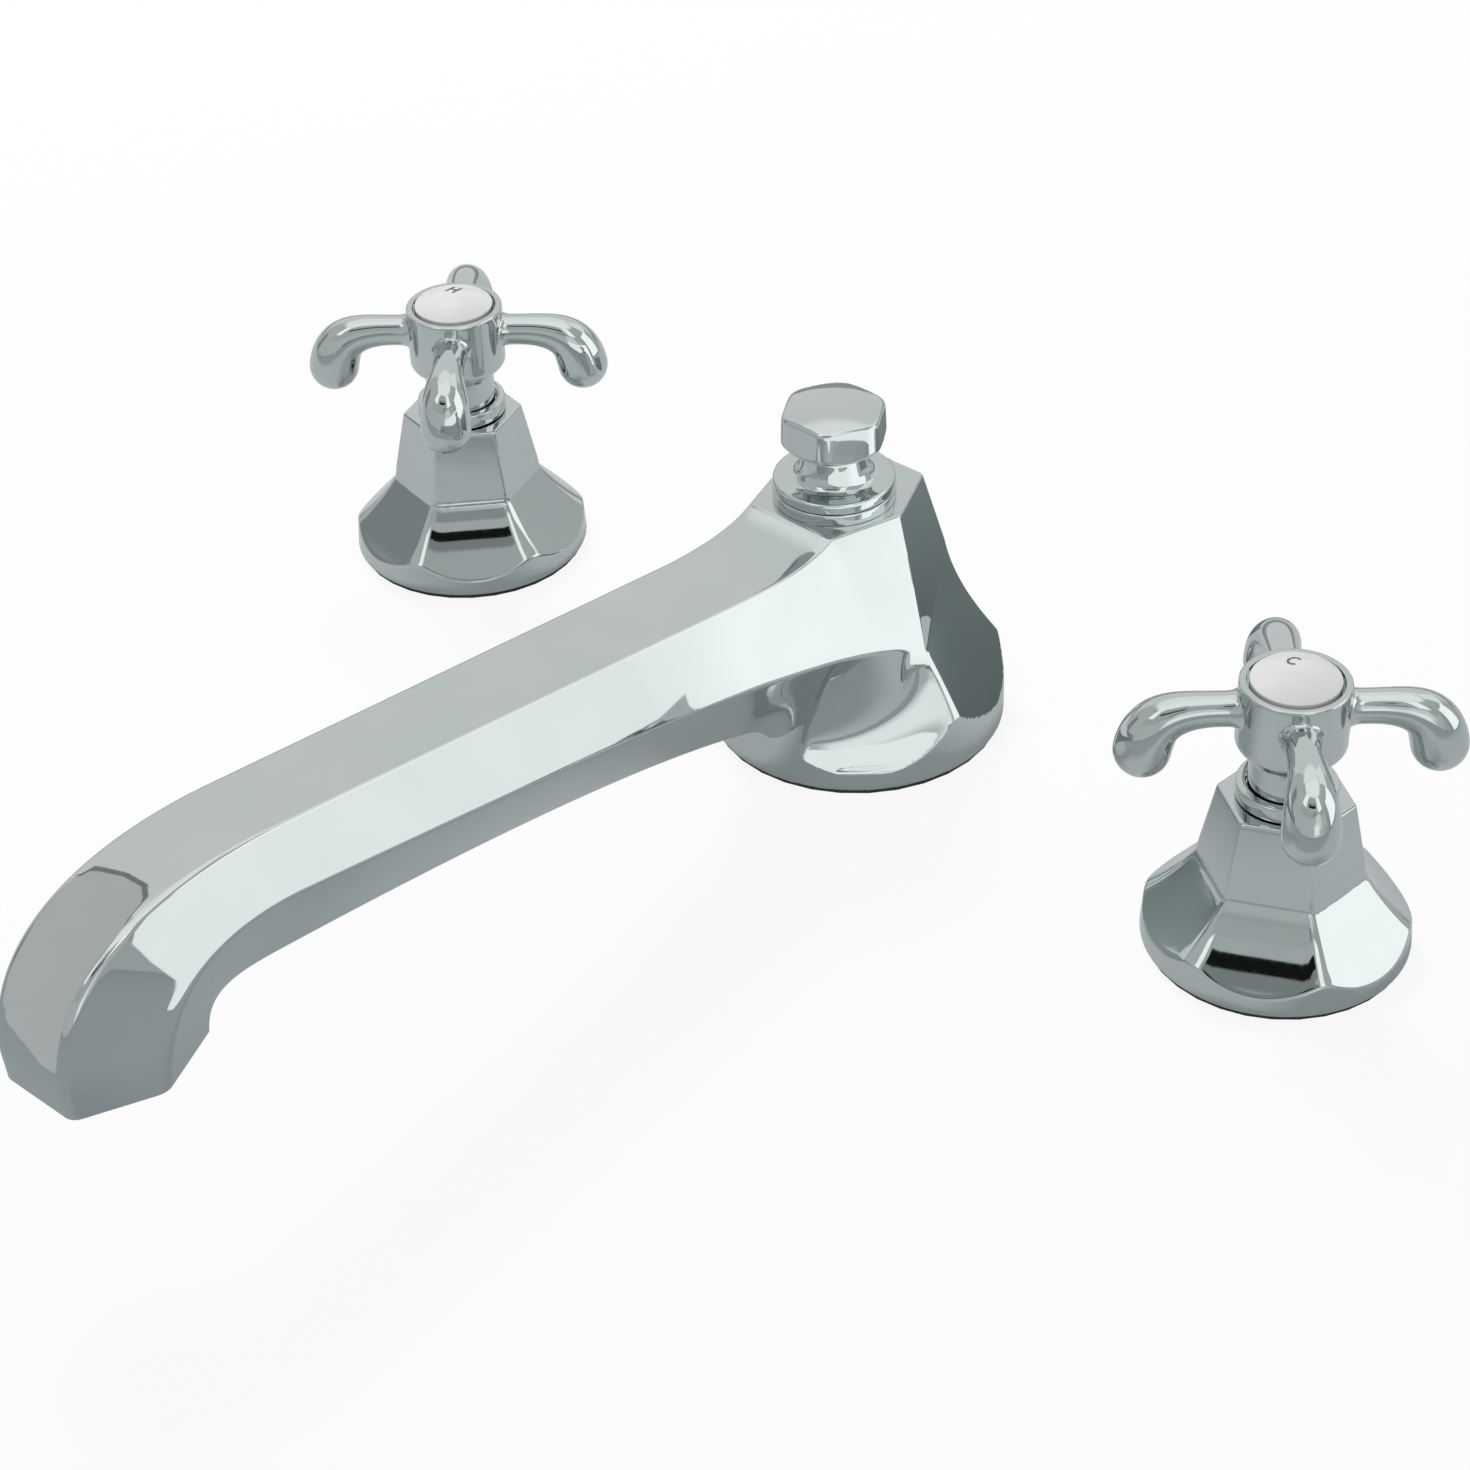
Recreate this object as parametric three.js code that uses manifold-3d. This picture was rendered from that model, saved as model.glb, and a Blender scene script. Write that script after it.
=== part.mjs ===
// Roman tub faucet: a deck-mounted tub spout with a lift-knob diverter, and a hot and a cold valve
// with cross handles. Millimetres, +Z up. The origin is the middle of the spout's base on the deck
// surface, z = 0. The spout points to -Y, the hot valve stands at -X and the cold valve at +X.
import * as THREE from 'three';
import { mergeVertices } from 'three/addons/utils/BufferGeometryUtils.js';
import Module from 'manifold-3d';

const wasm = await Module();
wasm.setup();

// Clearances and facet counts
const GAP = 0.3;                 // between pieces that rest on each other
const OVERRUN = 1;               // how far a cutter runs past the face that it cuts
const RUNNING = 0.4;             // round a piece that turns or slides
const FINE = 32;                 // sides of a round that shows
const COARSE = 16;               // sides of a round that is hidden
const SIXTH = Math.PI / 3;
const COS30 = Math.cos(Math.PI / 6);
const SIN30 = 0.5;
const DEGREE = Math.PI / 180;

// Layout on the deck
const VALVE_SPACING = 245.8;     // from the hot axis to the cold axis
const VALVE_FORWARD = 6;         // the valve line stands this far in front of the spout's hole
const DECK_THICKNESS = 20;       // the deck that the nuts are drawn up against
const HOT_FACET_TURN = -42.1;    // where a facet of each bell points, in degrees from +X
const COLD_FACET_TURN = -64.7;
const HOT_HANDLE_TURN = -50;     // where one lever of each handle points when shut
const COLD_HANDLE_TURN = -48;

// Deck gaskets under the bell and under the spout
const GASKET_THICKNESS = 1;
const GASKET_INSET = 0.8;        // how far a gasket stays inside the rim above it
const GASKET_WIDTH = 4.5;

// Valve bell: six flat facets that flare out to a round rim
const BELL_RADIUS = 29;
const BELL_TOP = 37.8;
const BELL_TOP_CORNER = 14.7;    // radius to a corner of the flat hexagonal top
const BELL_CREASE_Z = 19.8;      // where the straight taper turns into the flare
const BELL_CREASE_CORNER = 18.4;
const BELL_BEND_Z = 12.4;        // pull point of the flare's curve
const BELL_BEND_CORNER = 23.2;
const BELL_FOOT_Z = 2.6;
const BELL_FOOT_CORNER = 36.6;
const BELL_DRAFT = 2.4;          // how much the round rim's cone narrows over the bell's height
const BELL_WALL = 2.2;
const BELL_TOP_PLATE = 3;
const FLARE_STEPS = 5;

// Dress ring that draws the bell down
const RING_RADIUS = 10.8;
const RING_HEIGHT = 3.4;
const RING_FLOOR = 1.5;          // thickness of its threaded floor
const RING_CHAMFER = 0.6;

// Valve body
const SHANK_RADIUS = 13;
const SHANK_TOP = 20;
const SHANK_BOTTOM = -50;
const BLOCK_RADIUS = 17;
const BLOCK_BOTTOM = -76;
const RISER_RADIUS = 7;
const RISER_BORE = 4.6;
const RISER_TOP = -3;
const ANNULUS_BOTTOM = -68;
const TAIL_RADIUS = 10.3;        // half inch pipe thread
const TAIL_BOTTOM = -94;
const PORT_Z = -62;
const PORT_REACH = 38;
const PORT_BORE = 5.4;
const PORT_CHAMFER = 1;

// Cartridge
const GUIDE_RADIUS = 10;          // upper band of the housing, which centres it in the body
const GUIDE_BOTTOM = 14;
const SKIRT_RADIUS = 9.2;
const SKIRT_BOTTOM = -1;
const CHAMBER_RADIUS = 8.4;
const CHAMBER_TOP = 15;
const WINDOW_HEIGHT = 6;
const WINDOW_WIDTH = 9;
const HOUSING_FLANGE_RADIUS = 12.4;
const HOUSING_FLANGE = 2.3;
const HOUSING_HEX_CORNER = 10.9;
const HOUSING_HEX_TOP = 30;
const HOUSING_NECK_RADIUS = 7.6;
const SEAL_HEIGHT = 3.3;
const SEAL_RADIUS = 7.7;
const SEAL_BORE = 4.8;
const DISC_RADIUS = 8;
const DISC_THICKNESS = 3.4;
const DISC_PORT_RADIUS = 2.3;
const DISC_PORT_OFFSET = 4.9;
const DISC_CHANNEL = 4;          // width of the moving disc's channel, clear of the ports when shut
const DISC_CHANNEL_DEPTH = 1.6;
const DRIVER_THICKNESS = 3;
const DRIVER_RADIUS = 7.6;
const LUG_WIDTH = 3;
const LUG_DEPTH = 1.2;
const LUG_INNER = 4.8;           // radius where the drive lugs start
const STEM_RADIUS = 5;
const STEM_GROOVE_Z = 25;
const STEM_GROOVE_WIDTH = 2.6;
const STEM_GROOVE_DEPTH = 1.3;
const SPLINE_RADIUS = 4.3;
const SPLINE_BOTTOM = 40.2;
const SPLINE_TOP = 57.2;
const SPLINE_TEETH = 12;
const SPLINE_TOOTH = 0.5;

// Cross handle: a hub with four drooping teardrop levers
const HUB_RADIUS = 11.7;
const HUB_BOTTOM = 51.8;
const HUB_TOP = 67;
const HUB_ROUND = 0.7;
const NECK_RADIUS = 8.4;
const NECK_BOTTOM = 40.7;
const NECK_TOP = 48.8;
const NECK_SINK = 0.8;           // how deep the neck reaches into the dress ring
const SOCKET_RADIUS = SPLINE_RADIUS + GAP;
const WEB_BOTTOM = 57.6;
const WEB_TOP = 62.6;
const POCKET_RADIUS = 10.1;
const LEVER_COUNT = 4;
const LEVER_Z = 60.2;
const LEVER_ROOT = 10.7;         // start of the lever, inside the hub's wall
const LEVER_FLARE = 15.2;        // where the soft flare at the lever's root ends
const LEVER_FLARE_RADIUS = 5;
const LEVER_FLARE_STEPS = 3;
const LEVER_RADIUS = 3.75;
const LEVER_REACH = 30.9;        // from the axis to the middle of the bulb
const LEVER_DROP = 9.6;          // from the lever's root down to the middle of the bulb
const BULB_RADIUS = 6.2;
const LEVER_SHOULDER = 0.66;     // how far out the lever stays level, as a share of its curve
const LEVER_SIDES = 12;
const LEVER_STEPS = 8;
const BULB_STEPS = 3;

// Handle screw and index button
const SCREW_RADIUS = 1.9;
const SCREW_LENGTH = 14;
const SCREW_HEAD_RADIUS = 3.6;
const SCREW_HEAD = 2;
const SCREW_SLOT = 0.9;
const SCREW_CLEARANCE = 0.4;
const BUTTON_RADIUS = 9.5;
const BUTTON_EDGE_Z = 67.4;
const BUTTON_DOME = 2;
const BUTTON_UNDERSIDE = 65.3;
const BUTTON_SKIRT = 1.9;

// Clamping stack under the deck, the same for valves and spout
const RUBBER_WASHER = 3;
const STEEL_WASHER = 1.5;
const LOCKNUT_HEIGHT = 9;
const LOCKNUT_CORNER = 21;
const WASHER_RADIUS = 22;
const FLANGE_NUT_RADIUS = 19;
const FLANGE_NUT_RIM = 2;
const FLANGE_NUT_CORNER = 17.2;
const FLANGE_NUT_HEIGHT = 7;

// Spout body: a leaning six-sided bell that runs out into a six-sided arm
const SPOUT_RIM_RADIUS = 34.6;
const SPOUT_TOP = 63;
const SPOUT_AXIS_BACK = 5;       // the bell's own centre line stands this far in front of the origin
const SIDE_CORNER = { top: 17.3, creaseR: 25.1, creaseZ: 29.7, bendR: 30.3, bendZ: 22.6, footR: 38, footZ: 10 };
const REAR_CORNER = { top: 19.6, creaseR: 25.2, creaseZ: 44, bendR: 28.2, bendZ: 30, footR: 42, footZ: 12 };
const FRONT_CORNER_SHARE = 0.6;  // the bell's front corners stay inside the shoulder
const KNOB_FORWARD = 7.2;        // the lift rod's axis, in front of the origin

// Arm of the spout. Distances run forward from the origin, heights up from the deck
const ARM_CROWN_HALF = 10;       // half the width of the flat top facet along the arm
const ARM_CROWN_ROOT_HALF = 12;
const ARM_CROWN_START_HALF = 11.4;
const ARM_FLANK_HALF = 17.5;     // half the width across the side edges
const ARM_KEEL_HALF = 10;
const ARM_KEEL_ROOT_HALF = 9;
const OUTLET_Z = 41.2;
const OUTLET_FRONT = 237.7;      // front and rear corners of the outlet
const OUTLET_REAR = 203.6;
const OUTLET_MIDDLE = (OUTLET_FRONT + OUTLET_REAR) / 2;
const NOSE_BULGE = 0.6;          // how far the nose stands out in front of the outlet
const CROWN_ROOT_FORWARD = 22.3;
const CROWN_DIP = { forward: 30, z: 59 };
const CROWN_START = { forward: 50, z: 61.3 };
const CROWN_END = { forward: 180, z: 77.8 };
const NOSE_PULL_TOP = { forward: 214.3, z: 82 };
const NOSE_PULL_FRONT = { forward: OUTLET_FRONT, z: 73.1 };
const NOSE_FRONT = { forward: OUTLET_FRONT + NOSE_BULGE, z: 48 };
const FLANK_FLARE = { forward: 14, z: 35.2, half: 21.5 };
const FLANK_FLARE_END = { forward: 33, z: 37.3, half: 17.6 };
const FLANK_START = { forward: 51.8, z: 42.3 };
const FLANK_PULL = { forward: 84, z: 50.6 };
const FLANK_END = { forward: 183.7, z: 67 };
const FLANK_NOSE_PULL_TOP = { forward: 203, z: 69.7 };
const FLANK_NOSE_PULL_LOW = { forward: 218, z: 64 };
const KEEL_ROOT = { forward: 30, z: 18 };
const KEEL_START = { forward: 51.8, z: 25.2 };
const KEEL_BEND = { forward: 96, z: 39.4 };
const KEEL_END = { forward: 185, z: 48.9 };
const KEEL_NOSE_PULL_TOP = { forward: 195.7, z: 50 };
const KEEL_NOSE_PULL_LOW = { forward: 202.8, z: 50.3 };
const ROOT_STEPS = 12;
const RUN_STEPS = 6;
const NOSE_STEPS = 12;

// Shoulder: the front of the bell, which sweeps from its side corners under the arm in a cove.
// Shares run from 0 at the bell's side corners to 1 where the arm's plain section starts
const TOP_EDGE_SHARE = 3 / 12;   // the crown line leaves the flat top here
const COVE_SHARE = 7 / 12;       // the cove ends here, tangent to the arm's lower facet
const COVE_STEPS = FLARE_STEPS;
const COVE_FADE = 3;             // how fast the cove's shape fades out into the arm's lower facet
const RIM_PULL_REAR = { half: 38, forward: 19, z: -0.4 };
const RIM_PULL_FRONT = { half: 31, forward: 32, z: -0.4 };
const RIM_END = { half: 13, forward: 38, z: 4.5 };
const COVE_UPPER_MIDDLE = { half: 21, forward: 17, z: 21 };
const COVE_UPPER_END = { half: 13, forward: 27.5, z: 26 };
const COVE_LOWER_MIDDLE = { half: 20, forward: 18, z: 3 };
const COVE_LOWER_END = { half: 8, forward: 28, z: 9 };
const FOOT_TRIM_Z = 19;          // below this the shoulder is cut to the round foot

// Foot of the spout under the arm: a low ring with a hollowed top
const FOOT_RIM_Z = 6.5;
const FOOT_CREST_RADIUS = 24;
const FOOT_CREST_Z = 20;
const FOOT_BEND_RADIUS = 27;
const FOOT_BEND_Z = 8.5;
const FOOT_REAR = 14;            // the ring starts this far in front of the origin

// Waterway inside the spout
const CHANNEL_SCALE = 0.78;      // share of the arm's section that the waterway takes
const CHANNEL_HALF = 11.5;       // most half height of the waterway
const CHANNEL_START = 6;
const CHANNEL_ROOT_Z = 46.5;
const OUTLET_OVERRUN = 4;
const SEAT_Z = 27;               // underside of the diverter seat
const SEAT_BORE = 6.6;
const PLUG_CHAMBER_RADIUS = 11.2;

// Spout shank, lift rod and diverter
const SPOUT_SHANK_RADIUS = 13;
const SPOUT_SHANK_BORE = 8.5;
const SPOUT_SHANK_TOP = 11;
const SPOUT_SHANK_BOTTOM = -62;
const SPOUT_SHANK_CHAMFER = 1.2;
const LIFT_TRAVEL = 9;
const PLUG_RADIUS = 8.4;
const PLUG_HEIGHT = 2.2;
const PLUG_SEAL_HEIGHT = 2;
const PLUG_SEAL_RADIUS = 9;
const ROD_RADIUS = 2.4;
const ROD_TOP = 81;
const COLLAR_GLAND_RADIUS = 6;
const COLLAR_GLAND_DEPTH = 5;
const COLLAR_FOOT_RADIUS = 13.1;
const COLLAR_FOOT_TOP = 65.8;
const COLLAR_LIP_RADIUS = 13.7;
const COLLAR_LIP_TOP = 68.3;
const COLLAR_FLARE_RADIUS = 9.2;
const COLLAR_WAIST_RADIUS = 5.7;
const COLLAR_WAIST_Z = 70.4;
const COLLAR_RING_RADIUS = 7.1;
const COLLAR_RING_BOTTOM = 71.7;
const COLLAR_RING_TOP = 74.6;
const COLLAR_BORE = 2.9;
const COLLAR_GROOVE_Z = 72;
const COLLAR_GROOVE_WIDTH = 2.2;
const COLLAR_GROOVE_RADIUS = 4.2;
const KNOB_CORNER = 12.2;
const KNOB_BOTTOM = 75.2;
const KNOB_SKIRT_RADIUS = 7.6;
const KNOB_SIDE_BOTTOM = 77.9;
const KNOB_SIDE_TOP = 84.7;
const KNOB_DOME = 2.2;
const KNOB_DOME_STEPS = 4;

// Flow straightener in the outlet
const STRAIGHTENER_RISE = 4.2;    // from the outlet's edge up to the ring
const STRAIGHTENER_HEIGHT = 5;
const STRAIGHTENER_RADIUS = 11;
const STRAIGHTENER_WALL = 1.4;
const STRAIGHTENER_BAR = 1.2;
const STRAIGHTENER_BARS = 3;

// Turn a three.js geometry into a solid with its faces pointing out
function solid(geometry) {
  const bare = geometry.index ? geometry.toNonIndexed() : geometry.clone();
  bare.deleteAttribute('normal');
  bare.deleteAttribute('uv');
  const merged = mergeVertices(bare, 1e-4);
  const position = merged.attributes.position;
  const corners = [];
  for (let i = 0; i < merged.index.count; i += 3) {
    const [a, b, c] = [0, 1, 2].map((k) => merged.index.getX(i + k));
    if (a !== b && b !== c && c !== a) corners.push(a, b, c);
  }
  const point = (i) => new THREE.Vector3().fromBufferAttribute(position, i);
  let volume = 0;
  for (let i = 0; i < corners.length; i += 3) {
    const [a, b, c] = [0, 1, 2].map((k) => point(corners[i + k]));
    volume += a.dot(b.cross(c));
  }
  if (volume < 0) corners.reverse();
  return new wasm.Manifold(new wasm.Mesh({
    numProp: 3,
    vertProperties: new Float32Array(position.array),
    triVerts: new Uint32Array(corners),
  }));
}

// Turn a solid back into a geometry that a Mesh can show
function geometryOf(shape) {
  const mesh = shape.getMesh();
  const geometry = new THREE.BufferGeometry();
  geometry.setAttribute('position', new THREE.BufferAttribute(new Float32Array(mesh.vertProperties), 3));
  geometry.setIndex(new THREE.BufferAttribute(new Uint32Array(mesh.triVerts), 1));
  geometry.computeVertexNormals();
  return geometry;
}

// Revolve a closed outline of [radius, z] points about +Z
function revolve(outline, sides = COARSE) {
  const points = [...outline, outline[0]].map(([r, z]) => new THREE.Vector2(r, z));
  const geometry = new THREE.LatheGeometry(points, sides);
  geometry.rotateX(Math.PI / 2);
  return solid(geometry);
}

function rod(radius, bottom, top, sides = COARSE) {
  return revolve([[0, bottom], [radius, bottom], [radius, top], [0, top]], sides);
}

function sleeve(outer, inner, bottom, top, sides = COARSE) {
  return revolve([[inner, bottom], [outer, bottom], [outer, top], [inner, top]], sides);
}

// Six-sided prism with a corner towards +X
function hexPrism(corner, bottom, top) {
  const geometry = new THREE.CylinderGeometry(corner, corner, top - bottom, 6);
  geometry.rotateX(Math.PI / 2);
  geometry.rotateZ(Math.PI / 6);
  geometry.translate(0, 0, (top + bottom) / 2);
  return solid(geometry);
}

function block(width, depth, height, x, y, z) {
  const geometry = new THREE.BoxGeometry(width, depth, height);
  geometry.translate(x, y, z);
  return solid(geometry);
}

// A rod or bore that lies along X, from x = start to x = end
function crossRod(radius, start, end, z, sides = COARSE) {
  const geometry = new THREE.CylinderGeometry(radius, radius, end - start, sides);
  geometry.rotateZ(Math.PI / 2);
  geometry.translate((start + end) / 2, 0, z);
  return solid(geometry);
}

// Skin a row of sections, each a ring of the same number of points, and close both ends
function loft(sections) {
  const count = sections[0].length;
  const positions = [];
  const push = (...points) => points.forEach((p) => positions.push(p.x, p.y, p.z));
  for (let s = 0; s + 1 < sections.length; s += 1) {
    for (let i = 0; i < count; i += 1) {
      const [a, b] = [sections[s][i], sections[s][(i + 1) % count]];
      const [c, d] = [sections[s + 1][(i + 1) % count], sections[s + 1][i]];
      push(a, b, c, a, c, d);
    }
  }
  const [first, last] = [sections[0], sections[sections.length - 1]];
  for (let i = 1; i + 1 < count; i += 1) {
    push(first[0], first[i + 1], first[i]);
    push(last[0], last[i], last[i + 1]);
  }
  const geometry = new THREE.BufferGeometry();
  geometry.setAttribute('position', new THREE.Float32BufferAttribute(positions, 3));
  return solid(geometry);
}

// A corner line of a bell: a straight taper, then a curve out to the foot, as points of radius and z
function cornerLine(top, topZ, creaseR, creaseZ, bendR, bendZ, footR, footZ) {
  const flare = new THREE.QuadraticBezierCurve(
    new THREE.Vector2(creaseR, creaseZ),
    new THREE.Vector2(bendR, bendZ),
    new THREE.Vector2(footR, footZ),
  );
  return [new THREE.Vector2(top, topZ), ...flare.getPoints(FLARE_STEPS)];
}

const materials = {
  chrome: new THREE.MeshStandardMaterial({ color: 0xc9cfd0, metalness: 1, roughness: 0.08 }),
  brass: new THREE.MeshStandardMaterial({ color: 0xb08d4f, metalness: 1, roughness: 0.35 }),
  steel: new THREE.MeshStandardMaterial({ color: 0xa8abad, metalness: 1, roughness: 0.3 }),
  rubber: new THREE.MeshStandardMaterial({ color: 0x1d1d1f, metalness: 0, roughness: 0.8 }),
  porcelain: new THREE.MeshStandardMaterial({ color: 0xf2f1ec, metalness: 0, roughness: 0.12 }),
  ceramic: new THREE.MeshStandardMaterial({ color: 0xe3ded2, metalness: 0, roughness: 0.3 }),
  plastic: new THREE.MeshStandardMaterial({ color: 0xd8d8d4, metalness: 0, roughness: 0.4 }),
};

const faucet = new THREE.Group();

function place(group, name, shape, material) {
  const mesh = new THREE.Mesh(geometryOf(shape), materials[material]);
  mesh.name = name;
  group.add(mesh);
  return mesh;
}

// Washers and nut drawn up against the underside of the deck
function clampStack(group, prefix, threadRadius) {
  const bore = threadRadius + GAP;
  const rubberTop = -DECK_THICKNESS - GAP;
  const steelTop = rubberTop - RUBBER_WASHER - GAP;
  const nutTop = steelTop - STEEL_WASHER - GAP;
  place(group, `${prefix}_rubber_washer`,
    sleeve(WASHER_RADIUS, bore, rubberTop - RUBBER_WASHER, rubberTop), 'rubber');
  place(group, `${prefix}_steel_washer`,
    sleeve(WASHER_RADIUS, bore, steelTop - STEEL_WASHER, steelTop), 'steel');
  const nut = hexPrism(LOCKNUT_CORNER, nutTop - LOCKNUT_HEIGHT, nutTop)
    .subtract(rod(bore, nutTop - LOCKNUT_HEIGHT - OVERRUN, nutTop + OVERRUN));
  place(group, `${prefix}_locknut`, nut, 'brass');
}

function gasket(group, prefix, rimRadius) {
  const outer = rimRadius - GASKET_INSET;
  place(group, `${prefix}_gasket`, sleeve(outer, outer - GASKET_WIDTH, 0, GASKET_THICKNESS, FINE), 'rubber');
}

const BELL_BOTTOM = GASKET_THICKNESS + GAP;
const BELL_HOLE = HOUSING_NECK_RADIUS + RUNNING;

// Hollow six-sided bell that hides the valve above the deck
function bell() {
  const line = cornerLine(BELL_TOP_CORNER, BELL_TOP, BELL_CREASE_CORNER, BELL_CREASE_Z,
    BELL_BEND_CORNER, BELL_BEND_Z, BELL_FOOT_CORNER, BELL_FOOT_Z);
  line.push(new THREE.Vector2(BELL_FOOT_CORNER, BELL_BOTTOM));
  const corners = [...Array(6).keys()].map((k) => (k + 0.5) * SIXTH);
  const sections = line.map((p) => corners.map((angle) => (
    new THREE.Vector3(p.x * Math.cos(angle), p.x * Math.sin(angle), p.y))));
  const rim = revolve([
    [0, BELL_BOTTOM],
    [BELL_RADIUS, BELL_BOTTOM],
    [BELL_RADIUS - BELL_DRAFT, BELL_TOP],
    [0, BELL_TOP],
  ], FINE);
  const outside = loft(sections).intersect(rim);
  const flats = line.filter((p) => p.x * COS30 <= BELL_RADIUS);
  const roof = BELL_TOP - BELL_TOP_PLATE;
  const walls = flats.slice(1).map((p) => [p.x * COS30 - BELL_WALL, p.y]);
  const foot = BELL_RADIUS - BELL_WALL;
  const hollow = revolve([
    [0, roof],
    [BELL_TOP_CORNER * COS30 - BELL_WALL, roof],
    ...walls,
    [foot, walls[walls.length - 1][1] - (foot - walls[walls.length - 1][0])],
    [foot, 0],
    [0, 0],
  ], FINE);
  return outside.subtract(hollow).subtract(rod(BELL_HOLE, roof - OVERRUN, BELL_TOP + OVERRUN));
}

function dressRing() {
  const bottom = BELL_TOP + GAP;
  const top = bottom + RING_HEIGHT;
  const thread = HOUSING_NECK_RADIUS + GAP;
  const mouth = NECK_RADIUS + RUNNING;
  return revolve([
    [thread, bottom],
    [RING_RADIUS, bottom],
    [RING_RADIUS, top - RING_CHAMFER],
    [RING_RADIUS - RING_CHAMFER, top],
    [mouth, top],
    [mouth, bottom + RING_FLOOR],
    [thread, bottom + RING_FLOOR],
  ], FINE);
}

// Brass body: inlet tail, riser to the cartridge seat, and a ring-shaped way back down to the side port
function valveBody(portSide) {
  const bore = GUIDE_RADIUS + GAP;
  const body = revolve([
    [RISER_BORE, TAIL_BOTTOM],
    [TAIL_RADIUS - PORT_CHAMFER, TAIL_BOTTOM],
    [TAIL_RADIUS, TAIL_BOTTOM + PORT_CHAMFER],
    [TAIL_RADIUS, BLOCK_BOTTOM],
    [BLOCK_RADIUS, BLOCK_BOTTOM],
    [BLOCK_RADIUS, SHANK_BOTTOM],
    [SHANK_RADIUS, SHANK_BOTTOM],
    [SHANK_RADIUS, SHANK_TOP],
    [bore, SHANK_TOP],
    [bore, ANNULUS_BOTTOM],
    [RISER_RADIUS, ANNULUS_BOTTOM],
    [RISER_RADIUS, RISER_TOP],
    [RISER_BORE, RISER_TOP],
  ], COARSE);
  const inside = (RISER_RADIUS + bore) / 2;
  const reach = (a, b) => (portSide > 0 ? [a, b] : [-b, -a]);
  const port = crossRod(TAIL_RADIUS, ...reach(bore + GAP, PORT_REACH), PORT_Z);
  const way = crossRod(PORT_BORE, ...reach(inside, PORT_REACH + OVERRUN), PORT_Z);
  return body.add(port).subtract(way);
}

// Round flange nut that holds the body from above the deck
function flangeNut() {
  const rim = sleeve(FLANGE_NUT_RADIUS, SHANK_RADIUS + GAP, GAP, GAP + FLANGE_NUT_RIM);
  const grip = hexPrism(FLANGE_NUT_CORNER, GAP + FLANGE_NUT_RIM / 2, FLANGE_NUT_HEIGHT)
    .subtract(rod(SHANK_RADIUS + GAP, 0, FLANGE_NUT_HEIGHT + OVERRUN));
  return rim.add(grip);
}

const SEAL_BOTTOM = RISER_TOP + GAP;
const FIXED_DISC_BOTTOM = SEAL_BOTTOM + SEAL_HEIGHT + GAP;
const MOVING_DISC_BOTTOM = FIXED_DISC_BOTTOM + DISC_THICKNESS + GAP;
const DRIVER_BOTTOM = MOVING_DISC_BOTTOM + DISC_THICKNESS + GAP;
const HOUSING_TOP = BELL_TOP + GAP + RING_FLOOR;

function cartridgeHousing() {
  const flangeBottom = SHANK_TOP + GAP;
  const flangeTop = flangeBottom + HOUSING_FLANGE;
  const bore = STEM_RADIUS + RUNNING;
  const turned = revolve([
    [CHAMBER_RADIUS, SKIRT_BOTTOM],
    [SKIRT_RADIUS, SKIRT_BOTTOM],
    [SKIRT_RADIUS, GUIDE_BOTTOM],
    [GUIDE_RADIUS, GUIDE_BOTTOM],
    [GUIDE_RADIUS, flangeBottom],
    [HOUSING_FLANGE_RADIUS, flangeBottom],
    [HOUSING_FLANGE_RADIUS, flangeTop],
    [HOUSING_NECK_RADIUS, flangeTop],
    [HOUSING_NECK_RADIUS, HOUSING_TOP],
    [bore, HOUSING_TOP],
    [bore, CHAMBER_TOP],
    [CHAMBER_RADIUS, CHAMBER_TOP],
  ]);
  const hex = hexPrism(HOUSING_HEX_CORNER, flangeTop - HOUSING_FLANGE / 2, HOUSING_HEX_TOP)
    .subtract(rod(bore, 0, HOUSING_HEX_TOP + OVERRUN));
  const windowZ = MOVING_DISC_BOTTOM + WINDOW_HEIGHT / 2;
  const windows = block(3 * SKIRT_RADIUS, WINDOW_WIDTH, WINDOW_HEIGHT, 0, 0, windowZ);
  return turned.add(hex).subtract(windows);
}

// The two polished discs: ports in the fixed one, a channel and two drive notches in the moving one
function fixedDisc() {
  const port = (side) => {
    const geometry = new THREE.CylinderGeometry(DISC_PORT_RADIUS, DISC_PORT_RADIUS, 3 * DISC_THICKNESS, COARSE);
    geometry.rotateX(Math.PI / 2);
    geometry.translate(side * DISC_PORT_OFFSET, 0, FIXED_DISC_BOTTOM);
    return solid(geometry);
  };
  return rod(DISC_RADIUS, FIXED_DISC_BOTTOM, FIXED_DISC_BOTTOM + DISC_THICKNESS)
    .subtract(port(1))
    .subtract(port(-1));
}

function movingDisc() {
  const top = MOVING_DISC_BOTTOM + DISC_THICKNESS;
  const across = 3 * DISC_RADIUS;
  const channel = block(DISC_CHANNEL, across, 2 * DISC_CHANNEL_DEPTH, 0, 0, MOVING_DISC_BOTTOM);
  const notch = block(across, LUG_WIDTH + 2 * GAP, 2 * (LUG_DEPTH + GAP), 0, 0, top);
  const keep = rod(LUG_INNER - GAP, MOVING_DISC_BOTTOM - OVERRUN, top + OVERRUN);
  return rod(DISC_RADIUS, MOVING_DISC_BOTTOM, top)
    .subtract(channel)
    .subtract(notch.subtract(keep));
}

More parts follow.
